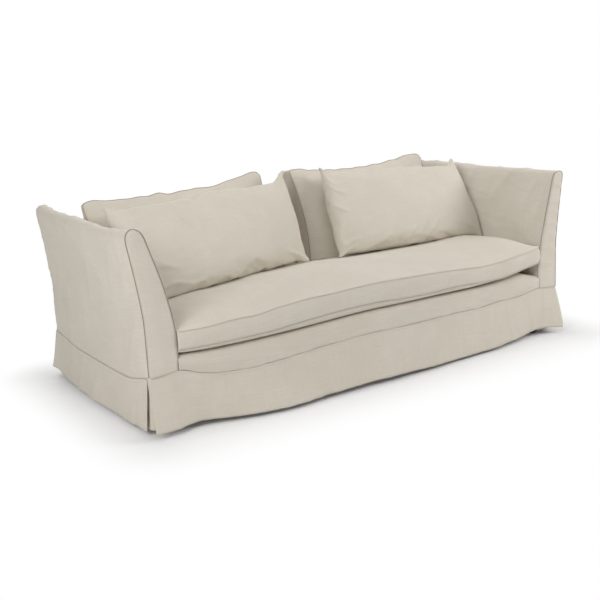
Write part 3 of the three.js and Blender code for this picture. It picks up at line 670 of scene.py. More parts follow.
add_shader(
    tree, colour, linen_roughness, height, weave_depth,
    Sheen_Weight=linen_sheen, Sheen_Roughness=linen_sheen_roughness,
)

# Self piping: the same cloth turned over a fine cord. It lies pinched between two panels, so it is
# drawn in the shade that collects there.
piping_pale = "#a89f91"
piping_dark = "#958c7e"
shaded_linen, tree = new_material("self_piping_linen_cotton")
place = add_node(tree, "ShaderNodeUVMap", uv_map="cloth").outputs[0]
turns = stretched_noise(tree, place, (yarn_slub, yarn_thickness, 1.0), detail=2.0)
add_shader(
    tree, tone(tree, turns, piping_dark, piping_pale), linen_roughness, turns, weave_depth,
    Sheen_Weight=linen_sheen, Sheen_Roughness=linen_sheen_roughness,
)


def linen_piece(name, points, depth, outward):
    """One panel of the cover as a piece of its own, depth thick."""
    cloth = Sewing()
    cloth.wall(points, depth, outward)
    return cloth.make(name, linen)


# Front band: the strip of cover between the seat cushion and the skirt, bowed with the front rail.
# It rounds over the rail onto the platform and hangs a little slack above its seam.
seam_line_pairs = (
    (-1.12, 0.236), (-0.99, 0.241), (-0.89, 0.208), (-0.74, 0.186), (-0.60, 0.186), (-0.45, 0.195),
    (-0.34, 0.202), (-0.06, 0.211), (0.10, 0.208), (0.23, 0.209), (0.40, 0.212), (0.58, 0.211),
    (0.70, 0.220), (0.83, 0.221), (1.00, 0.241), (1.12, 0.234),
)
seam_lift_per_bow = 0.36
band_columns = 220
band_side_tuck = 0.002
band_over_deck = 0.0008
band_reaches = (0.070, 0.055, 0.040)
band_roll = 0.026
band_wall = 0.005
band_slack = 0.004
band_slack_length = 0.16
band_crease = 0.0035
band_crease_length = 0.11
band_folds = (
    ((-0.99, 0.27), (-0.78, 0.225), 0.018), ((0.80, 0.24), (0.985, 0.285), 0.014),
    ((0.88, 0.235), (0.985, 0.262), 0.010),
)
band_fold_height = 0.006
sewn_dip = 0.0025
sewn_dip_width = 0.0035

measured_seam = smooth_line(seam_line_pairs)


def front_seam_height(x):
    """The seam between band and skirt, which sags and rises along the front."""
    return measured_seam(x) + seam_lift_per_bow * bow_at(x)


def fold(u, v, start, end, width, height):
    """A soft ridge from start to end on a cloth whose places are u and v, fading at its ends."""
    start, end = np.array(start), np.array(end)
    run = end - start
    length = np.linalg.norm(run)
    run = run / length
    along = ((u - start[0]) * run[0] + (v - start[1]) * run[1]) / length
    off = (u - start[0]) * run[1] - (v - start[1]) * run[0]
    taper = np.clip(4 * along * (1 - along), 0, None)
    return height * np.exp(-((off / width) ** 2)) * taper


across = np.linspace(-1, 1, band_columns) * (arm_inner_half + band_side_tuck)
roll_angles = np.linspace(0, math.pi / 2, 9)
face_shares = np.linspace(0, 1, 15)[1:]
seam_height = front_seam_height(across)
face = front_face - bow_at(across)
roll_top = deck_height(across) + band_over_deck
rows_y = [face + reach for reach in band_reaches]
rows_z = [roll_top] * len(rows_y)
for angle in roll_angles:
    rows_y.append(face + band_roll * (1 - math.sin(angle)))
    rows_z.append(roll_top - band_roll * (1 - math.cos(angle)))
for share in face_shares:
    rows_y.append(face)
    rows_z.append(roll_top - band_roll + (seam_height - roll_top + band_roll) * share)
band = np.stack([
    np.broadcast_to(across, (len(rows_y), band_columns)), np.array(rows_y), np.array(rows_z),
], axis=-1)
drop = np.clip((roll_top - band[..., 2]) / (roll_top - seam_height), 0, 1)
uneven = 1 + 0.6 * ripple(band[..., ::2], band_slack_length, 21)
slack = band_slack * np.sin(math.pi * drop) ** 0.8 * uneven
slack += band_crease * drop * crease(ripple(band[..., ::2] * (0.5, 1.6), band_crease_length, 22))
for start, end, width in band_folds:
    slack += fold(band[..., 0], band[..., 2], start, end, width, band_fold_height)
slack -= sewn_dip * np.exp(-(((band[..., 2] - seam_height) / sewn_dip_width) ** 2))
band[..., 1] -= slack
front_band = linen_piece("front_band_linen", band, band_wall, (0, -1, 0))
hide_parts("front_band_cover")
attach(front_band, "root")


# Arm covers: one wide panel wraps each arm, up the outside, over the soft round top and down the
# inside, and turns the rear corner without a seam. It is sewn to the front panel with self piping.
arm_top = 0.806
arm_flare = 0.052
arm_inner_flare = 0.112
flare_start = 0.440
inner_flare_start = 0.380
flare_curve = 1.25
inner_flare_curve = {"left": 1.42, "right": 1.12}
arm_cap_rises = {"left": (0.036, 0.060), "right": (0.018, 0.026)}
arm_cap_peak = 0.6
arm_front_lean = 0.016
arm_corner_radius = 0.030
seam_level = 0.231
arm_wall_points = 50
arm_cap_points = 14
arm_rounds = 6
arm_wall = 0.010
arm_rear_run = 0.05
arm_swell = 0.0035
arm_swell_length = 0.30
arm_crease = 0.0042
arm_crease_length = 0.17
arm_fine_crease = 0.0022
arm_fine_crease_length = 0.09
arm_slack = 0.003
arm_slack_length = 0.25
arm_slack_below = 0.60
arm_slack_full = 0.30
arm_seam_dip = 0.002
arm_seam_hold = 0.03
arm_front_hold = 0.05
ridge_start = 0.55
arm_ridge_pairs = {
    "left": (
        (-0.495, -0.005), (-0.46, -0.007), (-0.40, -0.014), (-0.32, -0.020), (0.16, -0.022),
        (0.28, -0.020), (0.36, -0.016), (0.42, -0.010), (0.46, -0.006), (0.495, -0.008),
    ),
    "right": ((-0.495, 0.002), (-0.40, 0.0), (0.30, 0.0), (0.42, 0.004), (0.495, 0.0)),
}
side_seam_pairs = (
    (-0.53, 0.234), (-0.49, 0.230), (-0.32, 0.194), (-0.12, 0.187), (0.07, 0.187), (0.25, 0.191),
    (0.43, 0.214), (0.53, 0.224),
)


def flare_share(height, start):
    return np.clip((height - start) / (arm_top - start), 0, None)


def arm_outer_x(height):
    return seat_half + arm_flare * flare_share(height, flare_start) ** flare_curve


def arm_inner_x(height, side_name="left"):
    curve = inner_flare_curve[side_name]
    return arm_inner_half + arm_inner_flare * flare_share(height, inner_flare_start) ** curve


def arm_front_y(height):
    return front_face + arm_front_lean * flare_share(height, seam_level)


measured_side_seam = smooth_line(side_seam_pairs)


def side_seam_height(y):
    return measured_side_seam(y - depth_middle)


def worn_round(section, rounds):
    """A section whose corners have been eased, each point towards its neighbours."""
    for _ in range(rounds):
        section[1:-1] = (section[:-2] + 2 * section[1:-1] + section[2:]) / 4
    return section


def ridge_share(height):
    """How much of the top's rise and sag a point takes: none low down, all of it at the top."""
    return eased(np.clip((height - ridge_start) / (arm_top - ridge_start), 0, 1))


def arm_section(outer_bottom, inner_bottom, side_name):
    """The arm seen from the front, [x, z] rows from the outer foot over the top to the inner."""
    outer_rise, inner_rise = arm_cap_rises[side_name]
    outer_heights = np.linspace(outer_bottom, arm_top - outer_rise, arm_wall_points)
    inner_heights = np.linspace(arm_top - inner_rise, inner_bottom, arm_wall_points)
    outer_spring = arm_outer_x(outer_heights[-1])
    inner_spring = arm_inner_x(inner_heights[0], side_name)
    peak = inner_spring + (outer_spring - inner_spring) * arm_cap_peak
    turn = np.linspace(0, math.pi, arm_cap_points + 2)[1:-1]
    outward = np.cos(turn) > 0
    cap_x = peak + np.where(outward, outer_spring - peak, peak - inner_spring) * np.cos(turn)
    cap_z = arm_top - np.where(outward, outer_rise, inner_rise) * (1 - np.sin(turn))
    section = np.stack([
        np.concatenate([arm_outer_x(outer_heights), cap_x, arm_inner_x(inner_heights, side_name)]),
        np.concatenate([outer_heights, cap_z, inner_heights]),
    ], axis=-1)
    return worn_round(section, arm_rounds)


def inward_of(section):
    """The direction into the arm at each point of its section."""
    run = np.gradient(section, axis=0)
    inward = np.stack([-run[:, 1], run[:, 0]], axis=-1)
    return inward / np.linalg.norm(inward, axis=1, keepdims=True)


corner_y = back_face - arm_corner_radius
wall_depths = np.linspace(0.018, corner_y - front_face, 84)
edge_turns = ((0.0012, 0.0055), (0.0025, 0.0030), (0.0050, 0.0012), (0.0095, 0.0003))
corner_turns = np.linspace(0, math.pi / 2, 9)[1:]
rear_shares = np.linspace(0, 1, 6)[1:]
rear_inner_bottom = seam_level - 0.002
point_count = 2 * arm_wall_points + arm_cap_points
outer_share = np.clip(
    (point_count / 2 + arm_cap_points / 2 - np.arange(point_count)) / arm_cap_points, 0, 1,
)


def arm_rings(side_name):
    """Cuts through an arm's cover from its front edge, round the corner to the rear seam."""
    rings = []
    for depth, inset in edge_turns:
        section = arm_section(side_seam_height(front_face), platform_base, side_name)
        section = section + inward_of(section) * inset
        rings.append(np.stack([
            section[:, 0], arm_front_y(section[:, 1]) + depth, section[:, 1],
        ], axis=-1))
    for depth in wall_depths:
        y = front_face + depth
        section = arm_section(side_seam_height(y), platform_base, side_name)
        share = (depth - wall_depths[0]) / (wall_depths[-1] - wall_depths[0])
        lean = (arm_front_y(section[:, 1]) - front_face) * (1 - share)
        rings.append(np.stack([section[:, 0], y + lean, section[:, 1]], axis=-1))
    for angle in corner_turns:
        y = corner_y + arm_corner_radius * math.sin(angle)
        lowered = np.clip(math.sin(angle) - 0.6, 0, None) / 0.4
        inner_bottom = platform_base + (rear_inner_bottom - platform_base) * lowered
        section = arm_section(side_seam_height(y), inner_bottom, side_name)
        section[:, 0] -= arm_corner_radius * (1 - math.cos(angle)) * outer_share
        rings.append(np.stack([section[:, 0], np.full(point_count, y), section[:, 1]], axis=-1))
    last = rings[-1]
    middle = (last + last[::-1]) / 2
    for share in rear_shares:
        rings.append(last + (middle - last) * share)
    return np.array(rings)


for side_name, side in sides.items():
    ridge = smooth_line(arm_ridge_pairs[side_name])
    rings = arm_rings(side_name)
    lengths = run_lengths(rings)
    uv = np.stack([
        np.broadcast_to((rings[:, :1, 1] - front_face), lengths.shape), lengths,
    ], axis=-1)
    uv[-len(rear_shares):, :, 0] += (rear_shares * arm_rear_run)[:, None]
    rings[..., 2] += ridge(rings[..., 1] - depth_middle) * ridge_share(rings[..., 2])
    normals = grid_normals(rings, (0, 0, 1))
    normals[-len(rear_shares):] = (0, 1, 0)
    seed = 30 + side
    places = rings * (1.0, 0.8, 1.0)
    swell = arm_swell * ripple(places, arm_swell_length, seed)
    upright = ripple(places * (1, 1.0, 0.45), arm_crease_length, seed + 10)
    lying = ripple(places * (1, 0.35, 1.3), arm_fine_crease_length, seed + 20)
    swell += arm_crease * crease(upright, 0.5) + arm_fine_crease * crease(lying, 0.4)
    outer_wall = outer_share * np.clip((arm_slack_below - rings[..., 2]) / arm_slack_full, 0, 1)
    sag = 0.6 + ripple(places * (1, 1, 0.3), arm_slack_length, seed + 30)
    swell += arm_slack * outer_wall * sag
    hold = np.clip(rings[..., 1] - arm_front_y(rings[..., 2]), 0, arm_front_hold) / arm_front_hold
    seam_off = rings[..., 2] - side_seam_height(rings[..., 1])
    at_seam = np.exp(-((seam_off / sewn_dip_width) ** 2)) * outer_share
    hold = hold * (1 - 0.95 * np.exp(-((seam_off / arm_seam_hold) ** 2)) * outer_share)
    rear_seam = np.ones(len(rings))
    rear_seam[-len(rear_shares):] = 0.4
    swell = swell * hold * rear_seam[:, None] - arm_seam_dip * at_seam
    rings = rings + normals * swell[..., None]
    rings[..., 0] *= side
    uv[..., 0] *= side
    cover = Sewing()
    back_side = grid_normals(rings, (0, 0, 1))
    back_side[-len(rear_shares):] = (0, 1, 0)
    inner = rings - back_side * arm_wall
    cover.patch(rings, uv)
    cover.patch(inner, uv)
    for edge, behind, edge_uv in (
        (rings[0], inner[0], uv[0]), (rings[:, 0], inner[:, 0], uv[:, 0]),
        (rings[:, -1], inner[:, -1], uv[:, -1]),
    ):
        cover.patch(np.stack([edge, behind]), np.stack([edge_uv, edge_uv + arm_wall]))
    arm_cover = cover.make(f"arm_wrap_linen_{side_name}", linen)
    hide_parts(f"arm_cover_{side_name}")
    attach(arm_cover, "root")


# Arm front panels: tall facings cut to the arm's profile, piped with their own cloth along both
# edges and over the round top. The right one is cut long, so it puckers across.
panel_puff = 0.004
panel_inset = 0.0015
panel_depth = 0.012
panel_edge_sink = 0.004
panel_edge_width = 0.005
panel_full_width = 0.06
panel_swell = 0.0022
panel_swell_length = 0.09
piping_radius = 0.0018
piping_proud = 0.0012
piping_set_back = 0.0025
panel_columns = 21
pucker_levels = (0.36, 0.43, 0.49, 0.55, 0.61, 0.67, 0.73)
pucker_tilt = 0.03
pucker_turn = 2.3
pucker_tuck = 0.01
pucker_run = 0.14
pucker_width = 0.008
pucker_height = 0.006

for side_name, side in sides.items():
    section = arm_section(side_seam_height(front_face), front_seam_height(arm_inner_half), side_name)
    ridge = smooth_line(arm_ridge_pairs[side_name])
    section[:, 1] += ridge(-sofa_half_depth) * ridge_share(section[:, 1])
    inward = inward_of(section)
    edge = section + inward * panel_inset
    half = point_count // 2
    outer_line, inner_line = edge[:half], edge[::-1][:half]
    share = np.linspace(0, 1, panel_columns)
    flat = outer_line[:, None] + (inner_line - outer_line)[:, None] * share[None, :, None]
    y = arm_front_y(flat[..., 1])
    width = np.linalg.norm(inner_line - outer_line, axis=1)[:, None]
    near_edge = np.minimum(share, 1 - share)[None, :] * width
    y = y + panel_edge_sink * np.exp(-((near_edge / panel_edge_width) ** 2))
    full = 1 - (2 * share[None, :] - 1) ** 2
    y = y - panel_puff * full ** 0.6 * np.clip(width / panel_full_width, 0, 1)
    y = y - panel_swell * ripple(flat * (1.0, 0.6), panel_swell_length, 50 + side) * full ** 0.5
    if side_name == "right":
        for index, level in enumerate(pucker_levels):
            tilt = pucker_tilt * math.sin(pucker_turn * index)
            x_low = arm_inner_x(level) - pucker_tuck
            start, end = (x_low, level + tilt), (x_low + pucker_run, level - 0.5 * tilt)
            y = y - fold(flat[..., 0], flat[..., 1], start, end, pucker_width, pucker_height)
    panel = np.stack([flat[..., 0] * side, y, flat[..., 1]], axis=-1)
    facing = Sewing()
    facing.wall(panel, panel_depth, (0, -1, 0))
    seam_line = section + inward * (panel_inset - piping_proud)
    line = np.stack([
        seam_line[:, 0] * side, arm_front_y(seam_line[:, 1]) + piping_set_back, seam_line[:, 1],
    ], axis=-1)
    facing.cord(line, piping_radius)
    arm_panel = facing.make(f"arm_front_linen_{side_name}", linen, shaded_linen)
    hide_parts(f"arm_front_panel_{side_name}")
    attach(arm_panel, "root")


# Back cover: one panel runs up the outside of the back, over its serpentine top and down the
# inside, over the wadded frame between the arms. The cushions hide its inner face.
back_dip = 0.725
back_crown = 0.785
back_dip_share = 0.85
back_end_rise = 0.020
back_cap_rise = 0.040
back_outer_lean = 0.012
rail_top = 0.250
back_wall = 0.010
back_columns = 180
back_wall_points = 36
back_cap_points = 14
back_rounds = 10
back_side_tuck = 0.002
back_swell = 0.004
back_swell_length = 0.32
back_crease = 0.0025
back_crease_length = 0.16


def back_top_height(share):
    """The serpentine top line, share from -1 to 1 across the back."""
    away = np.abs(share)
    swell = (1 + np.cos(math.pi * np.clip(away / back_dip_share, 0, 1))) / 2
    end = np.clip((away - back_dip_share) / (1 - back_dip_share), 0, None) ** 2
    return back_dip + (back_crown - back_dip) * swell + back_end_rise * end


def outside_back_y(height):
    return back_face - back_outer_lean * flare_share(height, rail_top)


def back_section(top_height):
    """The back seen from the side, [y, z] rows from the outer foot over the top to the inner."""
    spring = top_height - back_cap_rise
    outer_heights = np.linspace(seam_level, spring, back_wall_points)
    inner_heights = np.linspace(spring, platform_base, back_wall_points)
    outer_spring, inner_spring = outside_back_y(spring), inside_back_y(spring)
    turn = np.linspace(0, math.pi, back_cap_points + 2)[1:-1]
    cap_y = (outer_spring + inner_spring) / 2 + (outer_spring - inner_spring) / 2 * np.cos(turn)
    cap_z = spring + back_cap_rise * np.sin(turn)
    section = np.stack([
        np.concatenate([outside_back_y(outer_heights), cap_y, inside_back_y(inner_heights)]),
        np.concatenate([outer_heights, cap_z, inner_heights]),
    ], axis=-1)
    return worn_round(section, back_rounds)


shares = np.linspace(-1, 1, back_columns)
sections = np.array([back_section(back_top_height(share)) for share in shares])
half_width = arm_inner_x(sections[..., 1]) + back_side_tuck
back_points = np.stack([shares[:, None] * half_width, sections[..., 0], sections[..., 1]], axis=-1)
normals = grid_normals(back_points, (0, 0, 1))
swell = back_swell * ripple(back_points, back_swell_length, 61)
swell += back_crease * crease(ripple(back_points * (1, 1, 0.4), back_crease_length, 62), 0.5)
swell *= 1 - np.abs(shares[:, None]) ** 12
back_points = back_points + normals * swell[..., None]
back_wrap = linen_piece("back_wrap_linen", back_points, back_wall, (0, 0, 1))
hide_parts("back_cover")
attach(back_wrap, "root")


# Skirts: four straight lengths of the same linen, hemmed, that hang from a flat felled seam to
# just above the floor. The heavy cloth kicks out at the hem in a few soft folds.
hem_level = 0.022
skirt_cloth = 0.004
felled_width = 0.010
skirt_slit = 0.006
side_slit = 0.022
fall_curve = 1.3
front_hem_pairs = (
    (-1.125, -0.543), (-1.035, -0.534), (-0.94, -0.510), (-0.82, -0.537), (-0.70, -0.566),
    (-0.57, -0.587), (-0.40, -0.577), (-0.09, -0.573), (0.16, -0.569), (0.50, -0.551),
    (0.71, -0.540), (0.97, -0.502), (1.12, -0.532),
)
front_hem_lift_pairs = (
    (-1.12, 0.002), (-1.05, 0.003), (-0.94, 0.004), (-0.80, -0.002), (-0.5, -0.003), (0.0, 0.001),
    (0.28, -0.006), (0.52, -0.008), (0.75, -0.004), (0.90, 0.003), (1.0, 0.015), (1.12, 0.004),
)
side_hem_pairs = (
    (-0.49, 0.013), (-0.38, 0.016), (-0.24, 0.022), (-0.11, 0.027), (0.17, 0.031), (0.34, 0.024),
    (0.45, 0.020), (0.49, 0.030),
)
side_hem_lift_pairs = (
    (-0.49, 0.0), (-0.35, -0.002), (-0.20, -0.003), (0.0, 0.001), (0.15, 0.005), (0.25, 0.009),
    (0.34, 0.014), (0.42, 0.020), (0.49, 0.032),
)
corner_kick = {"left": 0.012, "right": 0.023}
corner_kick_start = 0.9
corner_kick_turn = 0.72
back_fold = 0.006
back_hem_flare = 0.016
back_folds = 4
skirt_swell = 0.004
skirt_swell_length = 0.20
skirt_fold = 0.0045
skirt_fold_length = 0.13
stitch_depth = 0.0014
seam_stitch_width = 0.002
top_stitch_width = 0.0016
welt_height = 0.0006
skirt_drop = 0.20
skirt_rows = np.concatenate([
    [0.0, 0.0015, 0.003, 0.006, 0.0085, 0.010, 0.0115, 0.013, 0.017], np.linspace(0.026, skirt_drop, 17),
]) / skirt_drop


def felled_seam(drop):
    """The seam's relief, drop metres below it: two stitched grooves with a flat welt between."""
    grooves = np.exp(-((drop / seam_stitch_width) ** 2))
    grooves = grooves + np.exp(-(((drop - felled_width) / top_stitch_width) ** 2))
    welt = np.clip(1 - np.abs(drop / felled_width * 2 - 1) ** 6, 0, None)
    return welt_height * welt - stitch_depth * grooves


def skirt_panel(along, seam, hem, hem_out, seed, place_at):
    """A hanging panel. hem_out is how far the hem stands off; place_at gives x and y on the row."""
    run = skirt_rows[:, None]
    height = seam + (hem - seam) * run
    drop = seam - height
    fall = run ** fall_curve
    grid = np.stack([np.broadcast_to(along, height.shape), height], axis=-1)
    out = hem_out * fall + felled_seam(drop)
    out = out + skirt_swell * fall * ripple(grid * (1.0, 0.25), skirt_swell_length, seed)
    folds = crease(ripple(grid * (1.0, 0.3), skirt_fold_length, seed + 1), 0.4)
    out = out + skirt_fold * fall ** 0.5 * folds
    x, y = place_at(grid[..., 0], out)
    return np.stack([x, y, height], axis=-1)


skirt_half = seat_half - skirt_slit
front_hem = smooth_line(front_hem_pairs)
front_hem_lift = smooth_line(front_hem_lift_pairs)
along = np.linspace(-skirt_half, skirt_half, 240)
panel = skirt_panel(
    along,
    front_seam_height(along),
    hem_level + front_hem_lift(along),
    front_face - bow_at(along) - (front_hem(along) + depth_middle),
    70,
    lambda x, out: (x, front_face - bow_at(x) - out),
)
to_left = np.clip(-along - corner_kick_start, 0, None) / (skirt_half - corner_kick_start)
to_right = np.clip(along - corner_kick_start, 0, None) / (skirt_half - corner_kick_start)
kick = np.sin(math.pi * corner_kick_turn * skirt_rows)[:, None]
panel[..., 0] += corner_kick["right"] * kick * to_right ** 2 - corner_kick["left"] * to_left
front_skirt = linen_piece("skirt_linen_front", panel, skirt_cloth, (0, -1, 0))
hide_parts("skirt_front")
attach(front_skirt, "root")

panel = skirt_panel(
    along,
    np.full(along.shape, seam_level),
    np.full(along.shape, hem_level),
    back_hem_flare + back_fold * np.cos(2 * math.pi * back_folds * along / skirt_half),
    74,
    lambda x, out: (x, back_face + out),
)
back_skirt = linen_piece("skirt_linen_back", panel, skirt_cloth, (0, 1, 0))
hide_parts("skirt_back")
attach(back_skirt, "root")

side_hem = smooth_line(side_hem_pairs)
side_hem_lift = smooth_line(side_hem_lift_pairs)
for side_name, side in sides.items():
    along = np.linspace(side_slit - sofa_half_depth, sofa_half_depth - skirt_slit, 110)
    panel = skirt_panel(
        along,
        side_seam_height(along + depth_middle),
        hem_level + side_hem_lift(along),
        side_hem(along),
        78 + side,
        lambda y, out: (side * (seat_half + out), y + depth_middle),
    )
    side_skirt = linen_piece(f"skirt_linen_{side_name}", panel, skirt_cloth, (side, 0, 0))
    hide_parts(f"skirt_{side_name}")
    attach(side_skirt, "root")


# Kick pleats: an angle of linen behind each corner slit, hung from the rails, so that the slit
# opens onto cloth and not onto the frame.
pleat_leg = 0.106
pleat_cloth = 0.003
pleat_low = 0.024
pleat_high = 0.226
pleat_corner = 0.010
pleat_set_out = 0.004
pleat_spread = 0.006
pleat_waves = 7

near_x = seat_half - cover_wall + pleat_set_out
near_y = sofa_half_depth - cover_wall + pleat_set_out
leg = np.linspace(0, pleat_leg - pleat_corner, 14)
turn = np.linspace(0, math.pi / 2, 7)[1:-1]
plan_x = np.concatenate([
    np.full(leg.size, near_x),
    near_x - pleat_corner + pleat_corner * np.cos(turn),
    near_x - pleat_corner - leg,
])
plan_y = np.concatenate([
    (near_y - pleat_corner - leg)[::-1],
    near_y - pleat_corner + pleat_corner * np.sin(turn),
    np.full(leg.size, near_y),
])
heights = np.linspace(pleat_high, pleat_low, 18)[:, None]
hang = (pleat_high - heights) / (pleat_high - pleat_low)
run = np.linspace(-1, 1, plan_x.size)[None, :]

for end_name, end in (("front", -1), ("back", 1)):
    for side_name, side in sides.items():
        spread = pleat_spread * hang * (1 + 0.5 * np.sin(pleat_waves * run + side + 2 * end))
        panel = np.stack([
            side * (plan_x[None, :] + spread * (run < 0)),
            depth_middle + end * (plan_y[None, :] + spread * (run >= 0)),
            np.broadcast_to(heights, (heights.size, plan_x.size)),
        ], axis=-1)
        name = f"kick_pleat_linen_{end_name}_{side_name}"
        insert = linen_piece(name, panel, pleat_cloth, (side, end, 0))
        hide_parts(f"pleat_{end_name}_{side_name}")
        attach(insert, "root")


# Seat cushion: one long bench cushion, a foam core in a feather wrap, boxed, with self piping in
# both seams. It is crowned, overhangs the band and lies loose on the platform.
seat_lie_gap = 0.0012
seat_rest = platform_top + piece_gap + seat_lie_gap
seat_end_gap = 0.003
seat_overhang = 0.013
seat_top_seam_pairs = (
    (-0.99, 0.396), (-0.90, 0.397), (-0.75, 0.409), (-0.64, 0.412), (-0.57, 0.424), (-0.50, 0.430),
    (-0.43, 0.437), (-0.30, 0.440), (-0.21, 0.445), (-0.06, 0.449), (0.12, 0.445), (0.24, 0.442),
    (0.40, 0.434), (0.59, 0.423), (0.69, 0.426), (0.80, 0.436), (0.89, 0.443), (0.99, 0.453),
)
seat_bottom_seam_pairs = (
    (-0.99, 0.318), (-0.75, 0.322), (-0.60, 0.327), (-0.50, 0.336), (-0.38, 0.346), (-0.20, 0.356),
    (-0.05, 0.357), (0.08, 0.350), (0.20, 0.348), (0.43, 0.350), (0.62, 0.342), (0.72, 0.343),
    (0.80, 0.352), (0.88, 0.362), (0.99, 0.369),
)
seat_under_pairs = ((-0.99, 0.075), (0.30, 0.075), (0.60, 0.11), (0.80, 0.20), (0.99, 0.24))
seat_rear_seam = 0.388
seat_crown = 0.050
seat_right_crown = 0.020
seat_peak_depth = 0.243
seat_crown_curve = 2.4
seat_end_curve = 18
seat_end_lift = 0.012
seat_rear_lift = 0.004
seat_swell = 0.0030
seat_swell_length = 0.26
seat_crease = 0.0014
seat_crease_length = 0.12
seat_boxing_bulge = 0.009
seat_boxing_wave = 0.0016
seat_boxing_wave_length = 0.10
seat_corner_ease = 0.014
seat_columns = 170
seat_rows = 64
seat_piping = 0.0015
seat_depth = 0.78
seam_groove = 0.0034
seam_sink = 0.0020
seam_steps = np.array([0.0, 0.0022, 0.0048, 0.0085, 0.014])
boxing_groove = 0.05
cord_stand_off = 0.001

seat_top_seam = smooth_line(seat_top_seam_pairs)
seat_bottom_seam = smooth_line(seat_bottom_seam_pairs)
seat_under_roll = smooth_line(seat_under_pairs)
seat_side_half = arm_inner_half - seat_end_gap


def seam_shares(count, span):
    """Shares from -1 to 1 across span metres, with rows close beside both seams."""
    edge = 2 * seam_steps / span
    middle = np.linspace(edge[-1] * 1.5 - 1, 1 - edge[-1] * 1.5, count)
    return np.concatenate([edge - 1, middle, (1 - edge)[::-1]])


def seam_dip(s, t, width, height):
    """How far a panel sinks into the seam round it: 1 at the seam, fading within its groove."""
    off = np.minimum((1 - np.abs(s)) * width / 2, (1 - np.abs(t)) * height / 2)
    return np.exp(-((off / seam_groove) ** 2))


share_x = seam_shares(seat_columns, 2 * seat_side_half)[None, :]
share_t = seam_shares(seat_rows, seat_depth)[:, None]
share_y = (share_t + 1) / 2
seat_x = share_x * seat_side_half
end_fall = np.abs(share_x) ** seat_end_curve
seat_front = front_face - seat_overhang - front_bow * (1 - share_x ** 2) + seat_corner_ease * end_fall
seat_rear_top = np.full(share_x.shape, inside_back_y(seat_rear_seam) - seat_end_gap)
seat_rear_bottom = np.full(share_x.shape, inside_back_y(seat_rest) - seat_end_gap)
top_y = seat_front + (seat_rear_top - seat_front) * share_y
peak_y = front_face + seat_peak_depth
reach = np.where(top_y < peak_y, peak_y - seat_front, seat_rear_top - peak_y)
crown = 1 - (np.abs(top_y - peak_y) / reach) ** seat_crown_curve
top_z = seat_top_seam(seat_x) + (seat_rear_seam - seat_top_seam(seat_x)) * share_y
toward_right = np.clip((share_x - 0.35) / 0.4, 0, 1)
full_crown = seat_crown + seat_right_crown * eased(toward_right)
top_z = top_z + full_crown * crown * (1 - end_fall)
seat_top = np.stack([np.broadcast_to(seat_x, top_y.shape), top_y, top_z], axis=-1)
inside = np.clip((1 - np.abs(2 * share_y - 1)) * 6, 0, 1) * np.clip((1 - np.abs(share_x)) * 14, 0, 1)
swell = ripple(seat_top[..., :2] * (0.7, 1.0), seat_swell_length, 81)
seat_top[..., 2] += inside * seat_swell * swell
creases = crease(ripple(seat_top[..., :2] * (0.4, 1.2), seat_crease_length, 82), 0.45)
seat_top[..., 2] += inside * seat_crease * creases
seat_top[..., 2] -= seam_sink * seam_dip(share_x, share_t, 2 * seat_side_half, seat_depth)

bottom_y = seat_front + (seat_rear_bottom - seat_front) * share_y
near_front = np.clip((bottom_y - seat_front) / seat_under_roll(seat_x), 0, 1)
rolled = 1 - np.sqrt(np.clip(1 - (1 - near_front) ** 2, 0, 1))
drawn = (1 - near_front) ** 1.4
rolled = rolled + (drawn - rolled) * np.clip((seat_x - 0.5) / 0.3, 0, 1)
under = deck_height(seat_x) + piece_gap + seat_lie_gap
lift = (seat_bottom_seam(seat_x) - under) * rolled
end_lift = seat_end_lift * end_fall
rear_lift = seat_rear_lift * share_y ** 30
bottom_z = under + np.maximum(np.maximum(lift, end_lift), rear_lift)
seat_bottom = np.stack([np.broadcast_to(seat_x, bottom_y.shape), bottom_y, bottom_z], axis=-1)


def rim_of(grid):
    """The closed line round a grid."""
    rows, columns = grid.shape[:2]
    pairs = [(0, c) for c in range(columns)]
    pairs += [(r, columns - 1) for r in range(1, rows)]
    pairs += [(rows - 1, c) for c in range(columns - 2, -1, -1)]
    pairs += [(r, 0) for r in range(rows - 2, 0, -1)]
    return np.array([grid[pair] for pair in pairs])


boxing_shares = np.concatenate([
    [0.0, 0.02, 0.045, 0.08], np.linspace(0.14, 0.86, 11), [0.92, 0.955, 0.98, 1.0],
])[:, None, None]


def boxing(upper, lower, bulge, outward):
    """The strip between two seams, bulged outward, and sunk where it meets them."""
    strip = upper + (lower - upper) * boxing_shares
    near_seam = np.minimum(boxing_shares, 1 - boxing_shares) / boxing_groove
    swell = np.sin(math.pi * boxing_shares) ** 0.7 * (1 - np.exp(-(near_seam ** 2)))
    return strip + outward * (swell * bulge - seam_sink * np.exp(-(near_seam ** 2)))


def plan_outward(rim):
    """Level unit vectors that point out of a closed line."""
    along = np.roll(rim, -1, axis=0) - np.roll(rim, 1, axis=0)
    out = np.stack([along[:, 1], -along[:, 0], np.zeros(len(rim))], axis=-1)
    return out / np.maximum(np.linalg.norm(out, axis=1, keepdims=True), 1e-9)


def form_of(sewing, name):
    """The piece as sewn so far, kept only for finding where other pieces touch it."""
    piece = sewing.make(name, linen)
    form = BVHTree.FromObject(piece, bpy.context.evaluated_depsgraph_get())
    bpy.data.objects.remove(piece)
    return form


